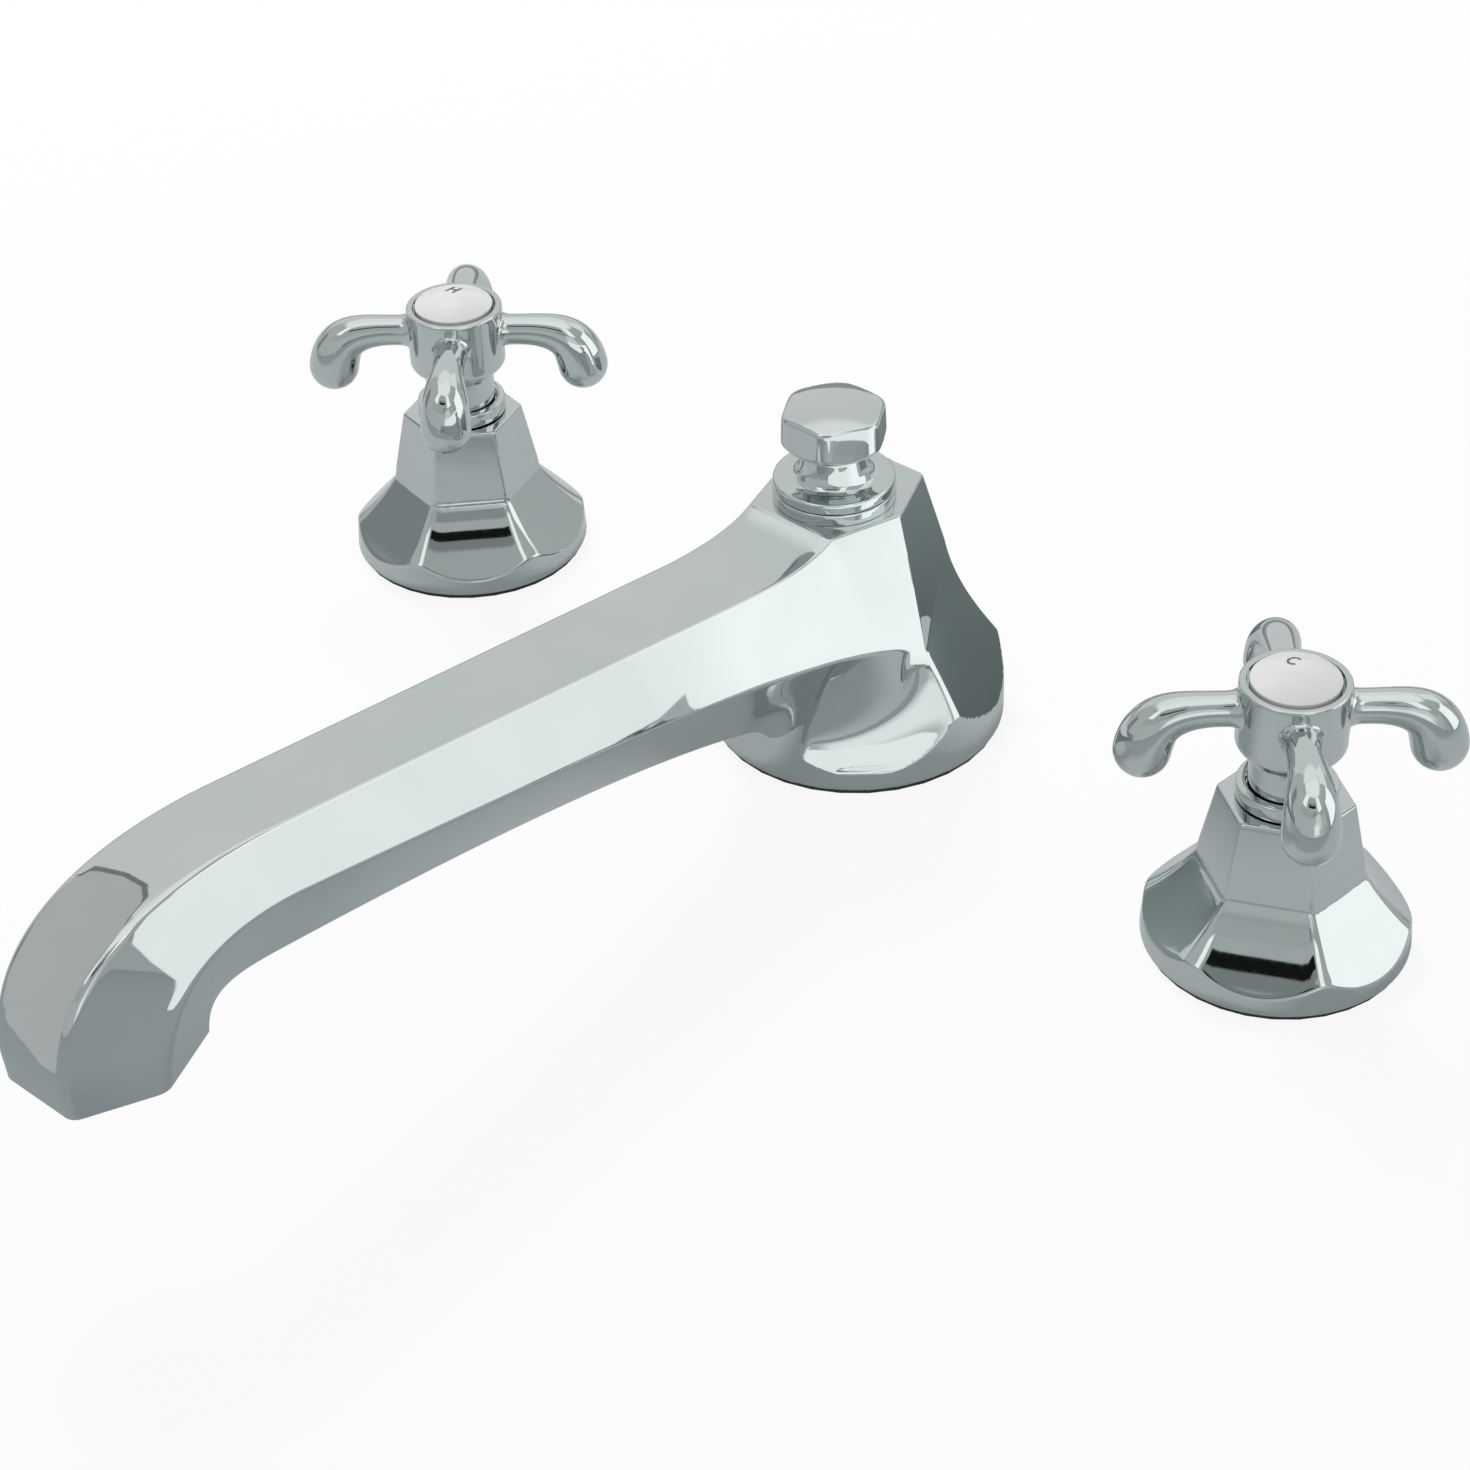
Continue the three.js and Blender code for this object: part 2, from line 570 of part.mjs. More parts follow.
function stem() {
  const shoulder = DRIVER_BOTTOM + DRIVER_THICKNESS;
  const screwRoom = SPLINE_TOP - SCREW_LENGTH;
  const grooveTop = STEM_GROOVE_Z + STEM_GROOVE_WIDTH;
  const screwBore = SCREW_RADIUS + SCREW_CLEARANCE;
  const grooveRadius = STEM_RADIUS - STEM_GROOVE_DEPTH;
  const shaft = revolve([
    [0, DRIVER_BOTTOM],
    [DRIVER_RADIUS, DRIVER_BOTTOM],
    [DRIVER_RADIUS, shoulder],
    [STEM_RADIUS, shoulder],
    [STEM_RADIUS, STEM_GROOVE_Z],
    [grooveRadius, STEM_GROOVE_Z],
    [grooveRadius, grooveTop],
    [STEM_RADIUS, grooveTop],
    [STEM_RADIUS, SPLINE_BOTTOM],
    [SPLINE_RADIUS - SPLINE_TOOTH, SPLINE_BOTTOM],
    [SPLINE_RADIUS - SPLINE_TOOTH, SPLINE_TOP],
    [screwBore, SPLINE_TOP],
    [screwBore, screwRoom],
    [0, screwRoom],
  ]);
  const teeth = new THREE.Shape();
  for (let i = 0; i < 2 * SPLINE_TEETH; i += 1) {
    const angle = (i * Math.PI) / SPLINE_TEETH;
    const radius = i % 2 ? SPLINE_RADIUS : SPLINE_RADIUS - SPLINE_TOOTH;
    if (i === 0) teeth.moveTo(radius * Math.cos(angle), radius * Math.sin(angle));
    else teeth.lineTo(radius * Math.cos(angle), radius * Math.sin(angle));
  }
  teeth.closePath();
  const height = SPLINE_TOP - SPLINE_BOTTOM;
  const geometry = new THREE.ExtrudeGeometry(teeth, { depth: height, bevelEnabled: false });
  geometry.translate(0, 0, SPLINE_BOTTOM);
  const spline = solid(geometry).subtract(rod(screwBore, screwRoom, SPLINE_TOP + OVERRUN));
  const lugDrop = GAP + LUG_DEPTH;
  const lugs = block(2 * (DRIVER_RADIUS - GAP), LUG_WIDTH, 2 * lugDrop, 0, 0, DRIVER_BOTTOM)
    .subtract(rod(LUG_INNER, DRIVER_BOTTOM - 2 * lugDrop, DRIVER_BOTTOM));
  return shaft.add(spline).add(lugs);
}

function stemRing() {
  const bore = STEM_RADIUS - STEM_GROOVE_DEPTH + GAP;
  const outer = STEM_RADIUS + RUNNING / 2;
  return sleeve(outer, bore, STEM_GROOVE_Z + GAP, STEM_GROOVE_Z + STEM_GROOVE_WIDTH - GAP);
}

// One teardrop lever in the plane of +X and +Z
function lever() {
  const reach = LEVER_REACH - LEVER_ROOT;
  const spine = new THREE.CubicBezierCurve(
    new THREE.Vector2(LEVER_FLARE, LEVER_Z),
    new THREE.Vector2(LEVER_ROOT + LEVER_SHOULDER * reach, LEVER_Z),
    new THREE.Vector2(LEVER_REACH - BULB_RADIUS / 4, LEVER_Z - LEVER_DROP / 8),
    new THREE.Vector2(LEVER_REACH, LEVER_Z - LEVER_DROP),
  );
  const ring = (centre, direction, radius) => [...Array(LEVER_SIDES).keys()].map((i) => {
    const angle = (2 * Math.PI * i) / LEVER_SIDES;
    const up = radius * Math.cos(angle);
    const across = radius * Math.sin(angle);
    return new THREE.Vector3(centre.x - up * direction.y, across, centre.y + up * direction.x);
  });
  const level = new THREE.Vector2(1, 0);
  const sections = [];
  for (let i = 0; i < LEVER_FLARE_STEPS; i += 1) {
    const share = i / LEVER_FLARE_STEPS;
    const centre = new THREE.Vector2(LEVER_ROOT + share * (LEVER_FLARE - LEVER_ROOT), LEVER_Z);
    const flare = (LEVER_FLARE_RADIUS - LEVER_RADIUS) * (1 - share) ** 2;
    sections.push(ring(centre, level, LEVER_RADIUS + flare));
  }
  for (let i = 0; i <= LEVER_STEPS; i += 1) {
    const t = i / LEVER_STEPS;
    const swell = t * t * (3 - 2 * t);
    const radius = LEVER_RADIUS + (BULB_RADIUS - LEVER_RADIUS) * swell;
    sections.push(ring(spine.getPoint(t), spine.getTangent(t), radius));
  }
  const down = spine.getTangent(1);
  const end = spine.getPoint(1);
  for (let i = 1; i <= BULB_STEPS; i += 1) {
    const angle = (i * Math.PI) / 2 / (BULB_STEPS + 0.5);
    const centre = end.clone().addScaledVector(down, BULB_RADIUS * Math.sin(angle));
    sections.push(ring(centre, down, BULB_RADIUS * Math.cos(angle)));
  }
  return loft(sections);
}

function handle() {
  let shape = revolve([
    [SOCKET_RADIUS, NECK_BOTTOM],
    [NECK_RADIUS, NECK_BOTTOM],
    [NECK_RADIUS, NECK_TOP],
    [HUB_RADIUS, HUB_BOTTOM],
    [HUB_RADIUS, HUB_TOP - HUB_ROUND],
    [HUB_RADIUS - HUB_ROUND, HUB_TOP],
    [POCKET_RADIUS, HUB_TOP],
    [POCKET_RADIUS, WEB_TOP],
    [SCREW_RADIUS + SCREW_CLEARANCE, WEB_TOP],
    [SCREW_RADIUS + SCREW_CLEARANCE, WEB_BOTTOM],
    [SOCKET_RADIUS, WEB_BOTTOM],
  ], FINE);
  const arm = lever();
  for (let i = 0; i < LEVER_COUNT; i += 1) {
    shape = shape.add(arm.rotate([0, 0, (360 * i) / LEVER_COUNT]));
  }
  return shape;
}

function handleScrew() {
  const headBottom = WEB_TOP + GAP;
  const headTop = headBottom + SCREW_HEAD;
  const tip = headBottom - SCREW_LENGTH;
  const turned = revolve([
    [0, tip],
    [SCREW_RADIUS, tip],
    [SCREW_RADIUS, headBottom],
    [SCREW_HEAD_RADIUS, headBottom],
    [SCREW_HEAD_RADIUS, headTop],
    [0, headTop],
  ]);
  return turned.subtract(block(3 * SCREW_HEAD_RADIUS, SCREW_SLOT, SCREW_HEAD, 0, 0, headTop));
}

// Porcelain index button: a domed cap with a skirt that stands on the pocket's floor
function button() {
  const skirt = BUTTON_RADIUS - BUTTON_SKIRT;
  const outline = [[0, BUTTON_UNDERSIDE], [skirt, BUTTON_UNDERSIDE], [skirt, WEB_TOP + GAP], [BUTTON_RADIUS, WEB_TOP + GAP]];
  const steps = 5;
  for (let i = 0; i <= steps; i += 1) {
    const share = i / steps;
    outline.push([BUTTON_RADIUS * (1 - share), BUTTON_EDGE_Z + BUTTON_DOME * share * (2 - share)]);
  }
  return revolve(outline, FINE);
}

function valve(prefix, x, facetTurn, handleTurn, portSide) {
  const station = new THREE.Group();
  station.position.set(x, -VALVE_FORWARD, 0);
  faucet.add(station);

  const cover = new THREE.Group();
  cover.rotation.z = facetTurn * DEGREE;
  station.add(cover);
  place(cover, `${prefix}_bell`, bell(), 'chrome');

  place(station, `${prefix}_dress_ring`, dressRing(), 'chrome');
  gasket(station, `${prefix}_bell`, BELL_RADIUS);
  place(station, `${prefix}_valve_body`, valveBody(portSide), 'brass');
  place(station, `${prefix}_flange_nut`, flangeNut(), 'brass');
  clampStack(station, prefix, SHANK_RADIUS);
  place(station, `${prefix}_cartridge_housing`, cartridgeHousing(), 'brass');
  place(station, `${prefix}_seat_seal`,
    sleeve(SEAL_RADIUS, SEAL_BORE, SEAL_BOTTOM, SEAL_BOTTOM + SEAL_HEIGHT), 'rubber');
  place(station, `${prefix}_fixed_disc`, fixedDisc(), 'ceramic');
  place(station, `${prefix}_moving_disc`, movingDisc(), 'ceramic');
  place(station, `${prefix}_stem`, stem(), 'brass');
  place(station, `${prefix}_stem_ring`, stemRing(), 'rubber');

  const cross = new THREE.Group();
  cross.rotation.z = handleTurn * DEGREE;
  station.add(cross);
  place(cross, `${prefix}_handle`, handle(), 'chrome');
  place(cross, `${prefix}_handle_screw`, handleScrew(), 'steel');
  place(cross, `${prefix}_button`, button(), 'porcelain');
}

const SPOUT_BOTTOM = GASKET_THICKNESS + GAP;

// The leaning bell under the spout. Its front corners stay inside the shoulder
function spoutBell() {
  const line = (c) => {
    const points = cornerLine(c.top, SPOUT_TOP, c.creaseR, c.creaseZ, c.bendR, c.bendZ, c.footR, c.footZ);
    return [...points, new THREE.Vector2(c.footR, SPOUT_BOTTOM)];
  };
  const [side, rear] = [SIDE_CORNER, REAR_CORNER].map(line);
  const sections = side.map((s, i) => {
    const corner = (p, across, along) => (
      new THREE.Vector3(p.x * across, p.x * along - SPOUT_AXIS_BACK, p.y));
    const hidden = s.clone();
    hidden.x *= FRONT_CORNER_SHARE;
    return [
      corner(s, 1, 0),
      corner(rear[i], SIN30, COS30),
      corner(rear[i], -SIN30, COS30),
      corner(s, -1, 0),
      corner(hidden, -SIN30, -COS30),
      corner(hidden, SIN30, -COS30),
    ];
  });
  return loft(sections);
}

// The arm's three edge lines on the +X side: crown, flank and keel, as points of (half width, forward, z).
// The first stations are the shoulder's, from the bell's side corners to the arm's plain section
function armLines() {
  const v = (half, p) => new THREE.Vector3(half, p.forward, p.z);
  const outlet = (half, forward) => new THREE.Vector3(half, forward, OUTLET_Z);
  const [top, wide, low] = [ARM_CROWN_HALF, ARM_FLANK_HALF, ARM_KEEL_HALF];
  const sideTop = new THREE.Vector3(SIDE_CORNER.top, SPOUT_AXIS_BACK, SPOUT_TOP);
  const sideCrease = new THREE.Vector3(SIDE_CORNER.creaseR, SPOUT_AXIS_BACK, SIDE_CORNER.creaseZ);
  const frontTop = new THREE.Vector3(ARM_CROWN_ROOT_HALF, CROWN_ROOT_FORWARD, SPOUT_TOP);
  const crownStart = v(ARM_CROWN_START_HALF, CROWN_START);
  const topEdge = new THREE.LineCurve3(sideTop, frontTop);
  const crownDip = new THREE.QuadraticBezierCurve3(frontTop, v(ARM_CROWN_ROOT_HALF, CROWN_DIP), crownStart);
  const flankRoot = new THREE.CubicBezierCurve3(sideCrease, v(FLANK_FLARE.half, FLANK_FLARE),
    v(FLANK_FLARE_END.half, FLANK_FLARE_END), v(wide, FLANK_START));
  const keelRoot = new THREE.LineCurve3(v(ARM_KEEL_ROOT_HALF, KEEL_ROOT), v(low, KEEL_START));
  const shares = [...Array(ROOT_STEPS + 1).keys()].map((i) => i / ROOT_STEPS);
  const crown = shares.map((w) => (w <= TOP_EDGE_SHARE
    ? topEdge.getPoint(w / TOP_EDGE_SHARE)
    : crownDip.getPoint((w - TOP_EDGE_SHARE) / (1 - TOP_EDGE_SHARE))));
  const flank = shares.map((w) => flankRoot.getPoint(w));
  const keel = shares.map((w) => keelRoot.getPoint(Math.max(0, (w - COVE_SHARE) / (1 - COVE_SHARE))));
  const nose = new THREE.CurvePath();
  nose.add(new THREE.CubicBezierCurve3(
    v(top, CROWN_END), v(top, NOSE_PULL_TOP), v(top, NOSE_PULL_FRONT), v(top, NOSE_FRONT)));
  nose.add(new THREE.LineCurve3(v(top, NOSE_FRONT), outlet(top, OUTLET_FRONT)));
  const add = (points, curve, steps) => points.push(...curve.getSpacedPoints(steps).slice(1));
  add(crown, new THREE.LineCurve3(crownStart, v(top, CROWN_END)), RUN_STEPS);
  add(crown, nose, NOSE_STEPS);
  add(flank, new THREE.QuadraticBezierCurve3(v(wide, FLANK_START), v(wide, FLANK_PULL), v(wide, FLANK_END)),
    RUN_STEPS);
  add(flank, new THREE.CubicBezierCurve3(v(wide, FLANK_END), v(wide, FLANK_NOSE_PULL_TOP),
    v(wide, FLANK_NOSE_PULL_LOW), outlet(wide, OUTLET_MIDDLE)), NOSE_STEPS);
  add(keel, new THREE.QuadraticBezierCurve3(v(low, KEEL_START), v(low, KEEL_BEND), v(low, KEEL_END)), RUN_STEPS);
  add(keel, new THREE.CubicBezierCurve3(v(low, KEEL_END), v(low, KEEL_NOSE_PULL_TOP),
    v(low, KEEL_NOSE_PULL_LOW), outlet(low, OUTLET_REAR)), NOSE_STEPS);
  return [crown, flank, keel];
}

// The cove's lines down from the flank to the foot, one for each station of the shoulder
function coveLines(flank) {
  const v = (p) => new THREE.Vector3(p.half, p.forward, p.z);
  const at = (r, z) => new THREE.Vector3(r, SPOUT_AXIS_BACK, z);
  const crease = at(SIDE_CORNER.creaseR, SIDE_CORNER.creaseZ);
  const bend = at(SIDE_CORNER.bendR, SIDE_CORNER.bendZ);
  const foot = at(SIDE_CORNER.footR, SIDE_CORNER.footZ);
  const rim = new THREE.CubicBezierCurve3(foot, v(RIM_PULL_REAR), v(RIM_PULL_FRONT), v(RIM_END));
  const upper = new THREE.QuadraticBezierCurve3(crease.clone().lerp(bend, 2 / 3),
    v(COVE_UPPER_MIDDLE), v(COVE_UPPER_END));
  const lower = new THREE.QuadraticBezierCurve3(foot.clone().lerp(bend, 2 / 3),
    v(COVE_LOWER_MIDDLE), v(COVE_LOWER_END));
  const last = Math.round(COVE_SHARE * ROOT_STEPS);
  return flank.slice(0, last + 1).map((start, i) => {
    const share = i / last;
    const column = new THREE.CubicBezierCurve3(start, upper.getPoint(share), lower.getPoint(share),
      rim.getPoint(share));
    const points = column.getPoints(COVE_STEPS).slice(1);
    const end = points[points.length - 1];
    return [...points, new THREE.Vector3(end.x, end.y, SPOUT_BOTTOM)];
  });
}

// A section from its +X corners, mirrored to -X
function bothSides(right) {
  const left = right.map((p) => new THREE.Vector3(-p.x, p.y, p.z)).reverse();
  return [...right, ...left].map((p) => new THREE.Vector3(p.x, -p.y, p.z));
}

// Shoulder and arm in one skin. Past the cove the lower lines fade to the straight facet down to the keel
function spoutArm() {
  const [crown, flank, keel] = armLines();
  const cove = coveLines(flank);
  const end = cove.length - 1;
  const count = cove[0].length;
  const facet = (i) => [...Array(count).keys()].map((k) => flank[i].clone().lerp(keel[i], (k + 1) / count));
  const bulge = facet(end).map((p, k) => cove[end][k].clone().sub(p));
  const sections = cove.map((column, i) => bothSides([crown[i], flank[i], ...column]));
  for (let i = cove.length; i < crown.length; i += 1) {
    const left = Math.max(0, (ROOT_STEPS - i) / (ROOT_STEPS - end)) ** COVE_FADE;
    const line = facet(i).map((p, k) => p.addScaledVector(bulge[k], left));
    sections.push(bothSides([crown[i], flank[i], ...line]));
  }
  return loft(sections);
}

// Ring under the arm, with a hollowed top that carries the foot's rim round the front
function spoutFoot() {
  const hollow = new THREE.QuadraticBezierCurve(
    new THREE.Vector2(SPOUT_RIM_RADIUS, FOOT_RIM_Z),
    new THREE.Vector2(FOOT_BEND_RADIUS, FOOT_BEND_Z),
    new THREE.Vector2(FOOT_CREST_RADIUS, FOOT_CREST_Z),
  ).getPoints(FLARE_STEPS).map((p) => [p.x, p.y]);
  const outline = [[0, SPOUT_BOTTOM], [SPOUT_RIM_RADIUS, SPOUT_BOTTOM], ...hollow, [0, FOOT_CREST_Z]];
  const size = 2 * SPOUT_RIM_RADIUS;
  const front = block(size + GAP, size, size, 0, -FOOT_REAR - size / 2, FOOT_CREST_Z / 2);
  return revolve(outline, FINE).intersect(front);
}

// The waterway follows the arm's own lines, drawn in towards the middle of each section
function spoutChannel() {
  const [crown, flank, keel] = armLines();
  const sections = [];
  crown.forEach((top, i) => {
    if (i < ROOT_STEPS) return;
    const middle = top.clone().add(keel[i]).multiplyScalar(0.5).setX(0);
    const half = top.clone().sub(middle).setX(0).length();
    const share = Math.min(CHANNEL_SCALE, CHANNEL_HALF / half);
    const drawIn = (p) => new THREE.Vector3(
      p.x * CHANNEL_SCALE,
      middle.y + (p.y - middle.y) * share,
      middle.z + (p.z - middle.z) * share,
    );
    sections.push([drawIn(top), drawIn(flank[i]), drawIn(keel[i])]);
  });
  const root = sections[0].map((p) => (
    new THREE.Vector3(p.x, CHANNEL_START, CHANNEL_ROOT_Z + Math.sign(p.z - sections[0][1].z) * CHANNEL_HALF)));
  const mouth = sections[sections.length - 1].map((p) => p.clone().setZ(OUTLET_Z - OUTLET_OVERRUN));
  return loft([root, ...sections, mouth].map(bothSides));
}

function spoutBody() {
  const thread = SPOUT_SHANK_RADIUS + GAP;
  const shankRoom = SPOUT_SHANK_TOP + GAP;
  const onKnobAxis = (shape) => shape.translate([0, -KNOB_FORWARD, 0]);
  const chamber = onKnobAxis(rod(PLUG_CHAMBER_RADIUS, shankRoom - OVERRUN, SEAT_Z));
  const seat = onKnobAxis(rod(SEAT_BORE, SEAT_Z - OVERRUN, CHANNEL_ROOT_Z));
  const glandHole = onKnobAxis(rod(COLLAR_GLAND_RADIUS + GAP, CHANNEL_ROOT_Z, SPOUT_TOP + OVERRUN));
  const skirt = rod(2 * SPOUT_RIM_RADIUS, SPOUT_BOTTOM - OVERRUN, FOOT_TRIM_Z)
    .subtract(rod(SPOUT_RIM_RADIUS, SPOUT_BOTTOM - 2 * OVERRUN, FOOT_TRIM_Z + OVERRUN, FINE));
  return spoutBell()
    .add(spoutArm())
    .subtract(skirt)
    .add(spoutFoot())
    .subtract(rod(thread, SPOUT_BOTTOM - OVERRUN, shankRoom))
    .subtract(chamber)
    .subtract(seat)
    .subtract(glandHole)
    .subtract(spoutChannel());
}

function spoutShank() {
  return revolve([
    [SPOUT_SHANK_BORE, SPOUT_SHANK_BOTTOM],
    [SPOUT_SHANK_RADIUS - SPOUT_SHANK_CHAMFER, SPOUT_SHANK_BOTTOM],
    [SPOUT_SHANK_RADIUS, SPOUT_SHANK_BOTTOM + SPOUT_SHANK_CHAMFER],
    [SPOUT_SHANK_RADIUS, SPOUT_SHANK_TOP],
    [SPOUT_SHANK_BORE, SPOUT_SHANK_TOP],
  ]);
}

// Waisted collar on the spout's top, with a gland that reaches down into it and guides the lift rod
function liftCollar() {
  const foot = SPOUT_TOP + GAP;
  const grooveTop = COLLAR_GROOVE_Z + COLLAR_GROOVE_WIDTH;
  return revolve([
    [COLLAR_BORE, foot - COLLAR_GLAND_DEPTH],
    [COLLAR_GLAND_RADIUS, foot - COLLAR_GLAND_DEPTH],
    [COLLAR_GLAND_RADIUS, foot],
    [COLLAR_FOOT_RADIUS, foot],
    [COLLAR_FOOT_RADIUS, COLLAR_FOOT_TOP],
    [COLLAR_LIP_RADIUS, COLLAR_FOOT_TOP],
    [COLLAR_LIP_RADIUS, COLLAR_LIP_TOP],
    [COLLAR_FLARE_RADIUS, COLLAR_LIP_TOP],
    [(COLLAR_FLARE_RADIUS + 2 * COLLAR_WAIST_RADIUS) / 3, (COLLAR_LIP_TOP + COLLAR_WAIST_Z) / 2],
    [COLLAR_WAIST_RADIUS, COLLAR_WAIST_Z],
    [COLLAR_WAIST_RADIUS, COLLAR_RING_BOTTOM],
    [COLLAR_RING_RADIUS, COLLAR_RING_BOTTOM],
    [COLLAR_RING_RADIUS, COLLAR_RING_TOP],
    [COLLAR_GROOVE_RADIUS, COLLAR_RING_TOP],
    [COLLAR_GROOVE_RADIUS, grooveTop - COLLAR_GROOVE_WIDTH],
    [COLLAR_BORE, COLLAR_GROOVE_Z],
  ], FINE);
}

function collarRing() {
  return sleeve(COLLAR_GROOVE_RADIUS - GAP, ROD_RADIUS + GAP, COLLAR_GROOVE_Z + GAP,
    COLLAR_GROOVE_Z + COLLAR_GROOVE_WIDTH - GAP);
}

// Six-sided lift knob: cone below, flat sides, low dome above
function liftKnob() {
  const apothem = KNOB_CORNER * COS30;
  const prism = hexPrism(KNOB_CORNER, KNOB_BOTTOM, KNOB_SIDE_TOP + KNOB_DOME);
  const outline = [
    [0, KNOB_BOTTOM],
    [KNOB_SKIRT_RADIUS, KNOB_BOTTOM],
    [apothem, KNOB_SIDE_BOTTOM - GAP],
    [KNOB_CORNER + GAP, KNOB_SIDE_BOTTOM + KNOB_CORNER - apothem],
    [KNOB_CORNER + GAP, KNOB_SIDE_TOP],
  ];
  for (let i = 0; i <= KNOB_DOME_STEPS; i += 1) {
    const share = i / KNOB_DOME_STEPS;
    outline.push([KNOB_CORNER * (1 - share), KNOB_SIDE_TOP + KNOB_DOME * share * (2 - share)]);
  }
  const shell = prism.intersect(revolve(outline, FINE));
  return shell.subtract(rod(ROD_RADIUS + GAP, KNOB_BOTTOM - OVERRUN, ROD_TOP + GAP));
}

const PLUG_BOTTOM = SEAT_Z - LIFT_TRAVEL - GAP - PLUG_SEAL_HEIGHT - GAP - PLUG_HEIGHT;

function liftRod() {
  return rod(ROD_RADIUS, PLUG_BOTTOM + PLUG_HEIGHT / 2 + GAP, ROD_TOP);
}

function diverterPlug() {
  const top = PLUG_BOTTOM + PLUG_HEIGHT;
  return rod(PLUG_RADIUS, PLUG_BOTTOM, top)
    .subtract(rod(ROD_RADIUS + GAP, PLUG_BOTTOM + PLUG_HEIGHT / 2, top + OVERRUN));
}

// Flow straightener in the outlet: a ring with cross bars
function flowStraightener() {
  const bottom = OUTLET_Z + STRAIGHTENER_RISE;
  const top = bottom + STRAIGHTENER_HEIGHT;
  const inner = STRAIGHTENER_RADIUS - STRAIGHTENER_WALL;
  let shape = sleeve(STRAIGHTENER_RADIUS, inner, bottom, top);
  const length = 2 * (inner + STRAIGHTENER_WALL / 2);
  for (let i = 0; i < STRAIGHTENER_BARS; i += 1) {
    const bar = block(length, STRAIGHTENER_BAR, STRAIGHTENER_HEIGHT, 0, 0, (bottom + top) / 2);
    shape = shape.add(bar.rotate([0, 0, (180 * i) / STRAIGHTENER_BARS]));
  }
  return shape;
}

function spout() {
  place(faucet, 'spout_body', spoutBody(), 'chrome');
  gasket(faucet, 'spout', SPOUT_RIM_RADIUS);
  place(faucet, 'spout_shank', spoutShank(), 'brass');
  clampStack(faucet, 'spout', SPOUT_SHANK_RADIUS);
  const outlet = new THREE.Group();
  outlet.position.y = -OUTLET_MIDDLE;
  faucet.add(outlet);
  place(outlet, 'flow_straightener', flowStraightener(), 'plastic');

  const lift = new THREE.Group();
  lift.position.y = -KNOB_FORWARD;
  faucet.add(lift);
  place(lift, 'lift_collar', liftCollar(), 'chrome');
  place(lift, 'collar_ring', collarRing(), 'rubber');
  place(lift, 'lift_knob', liftKnob(), 'chrome');
  place(lift, 'lift_rod', liftRod(), 'brass');
  place(lift, 'diverter_plug', diverterPlug(), 'brass');
  const sealBottom = PLUG_BOTTOM + PLUG_HEIGHT + GAP;
  place(lift, 'diverter_seal',
    sleeve(PLUG_SEAL_RADIUS, ROD_RADIUS + GAP, sealBottom, sealBottom + PLUG_SEAL_HEIGHT), 'rubber');
}

spout();
valve('hot', -VALVE_SPACING / 2, HOT_FACET_TURN, HOT_HANDLE_TURN, 1);
valve('cold', VALVE_SPACING / 2, COLD_FACET_TURN, COLD_HANDLE_TURN, -1);

export default faucet;
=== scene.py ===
# Looks of the roman tub faucet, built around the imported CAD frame. Shapes are worked out in millimetres,
# with the sizes that the CAD has, and turned into metres when a piece is finished.
import math

import bpy
import bmesh
import numpy as np
from mathutils import Matrix, Vector
from mathutils.kdtree import KDTree


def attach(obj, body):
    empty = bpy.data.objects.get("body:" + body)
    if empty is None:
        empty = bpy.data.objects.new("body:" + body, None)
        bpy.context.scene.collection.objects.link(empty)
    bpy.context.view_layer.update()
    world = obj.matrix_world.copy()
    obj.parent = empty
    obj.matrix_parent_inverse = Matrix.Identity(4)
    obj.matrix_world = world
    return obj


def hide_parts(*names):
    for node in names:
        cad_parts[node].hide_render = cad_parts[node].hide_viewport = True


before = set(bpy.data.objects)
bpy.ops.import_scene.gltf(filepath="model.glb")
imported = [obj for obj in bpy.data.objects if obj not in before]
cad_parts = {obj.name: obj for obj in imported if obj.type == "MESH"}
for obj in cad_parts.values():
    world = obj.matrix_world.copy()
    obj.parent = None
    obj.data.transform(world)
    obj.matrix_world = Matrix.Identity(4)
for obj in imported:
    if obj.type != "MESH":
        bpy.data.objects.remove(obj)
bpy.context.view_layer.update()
MM = 0.001
COS30 = math.cos(math.pi / 6)

# Layout. Lengths are in millimetres and turns in degrees
VALVE_X = 122.9
VALVE_Y = -6
FACET_TURN = {"hot": -42.1, "cold": -64.7}
HANDLE_TURN = {"hot": -50, "cold": -48}
SIDE = {"hot": -1, "cold": 1}
KNOB_Y = -7.2
BOTTOM = 1.3  # underside of the metal, just above the thin gaskets


# Curves and nets

CORNER_SHARE = 0.42  # the most of an edge that a soft corner takes


def bez(points, t):
    """Points of a Bezier curve at the values t."""
    t = np.asarray(t, float)[:, None]
    layer = [np.broadcast_to(np.asarray(p, float), (len(t), len(p))) for p in points]
    while len(layer) > 1:
        layer = [a + (b - a) * t for a, b in zip(layer, layer[1:])]
    return layer[0]


def by_length(dense, shares):
    """Points at equal shares of a dense polyline's length."""
    step = np.linalg.norm(np.diff(dense, axis=0), axis=1)
    run = np.r_[0, np.cumsum(step)]
    at = np.asarray(shares) * run[-1]
    return np.stack([np.interp(at, run, dense[:, k]) for k in range(dense.shape[1])], 1)


def unit(v):
    return v / np.maximum(np.linalg.norm(v, axis=-1, keepdims=True), 1e-9)


def arc(before, corner, after, reach, count=7):
    """A soft corner: points on a curve that leaves one edge and joins the next, reach from the corner."""
    a = unit(before - corner)
    b = unit(after - corner)
    t = np.linspace(0, 1, count)
    t = t.reshape((-1,) + (1,) * np.ndim(corner))
    return corner + a * reach * (1 - t) ** 2 + b * reach * t ** 2


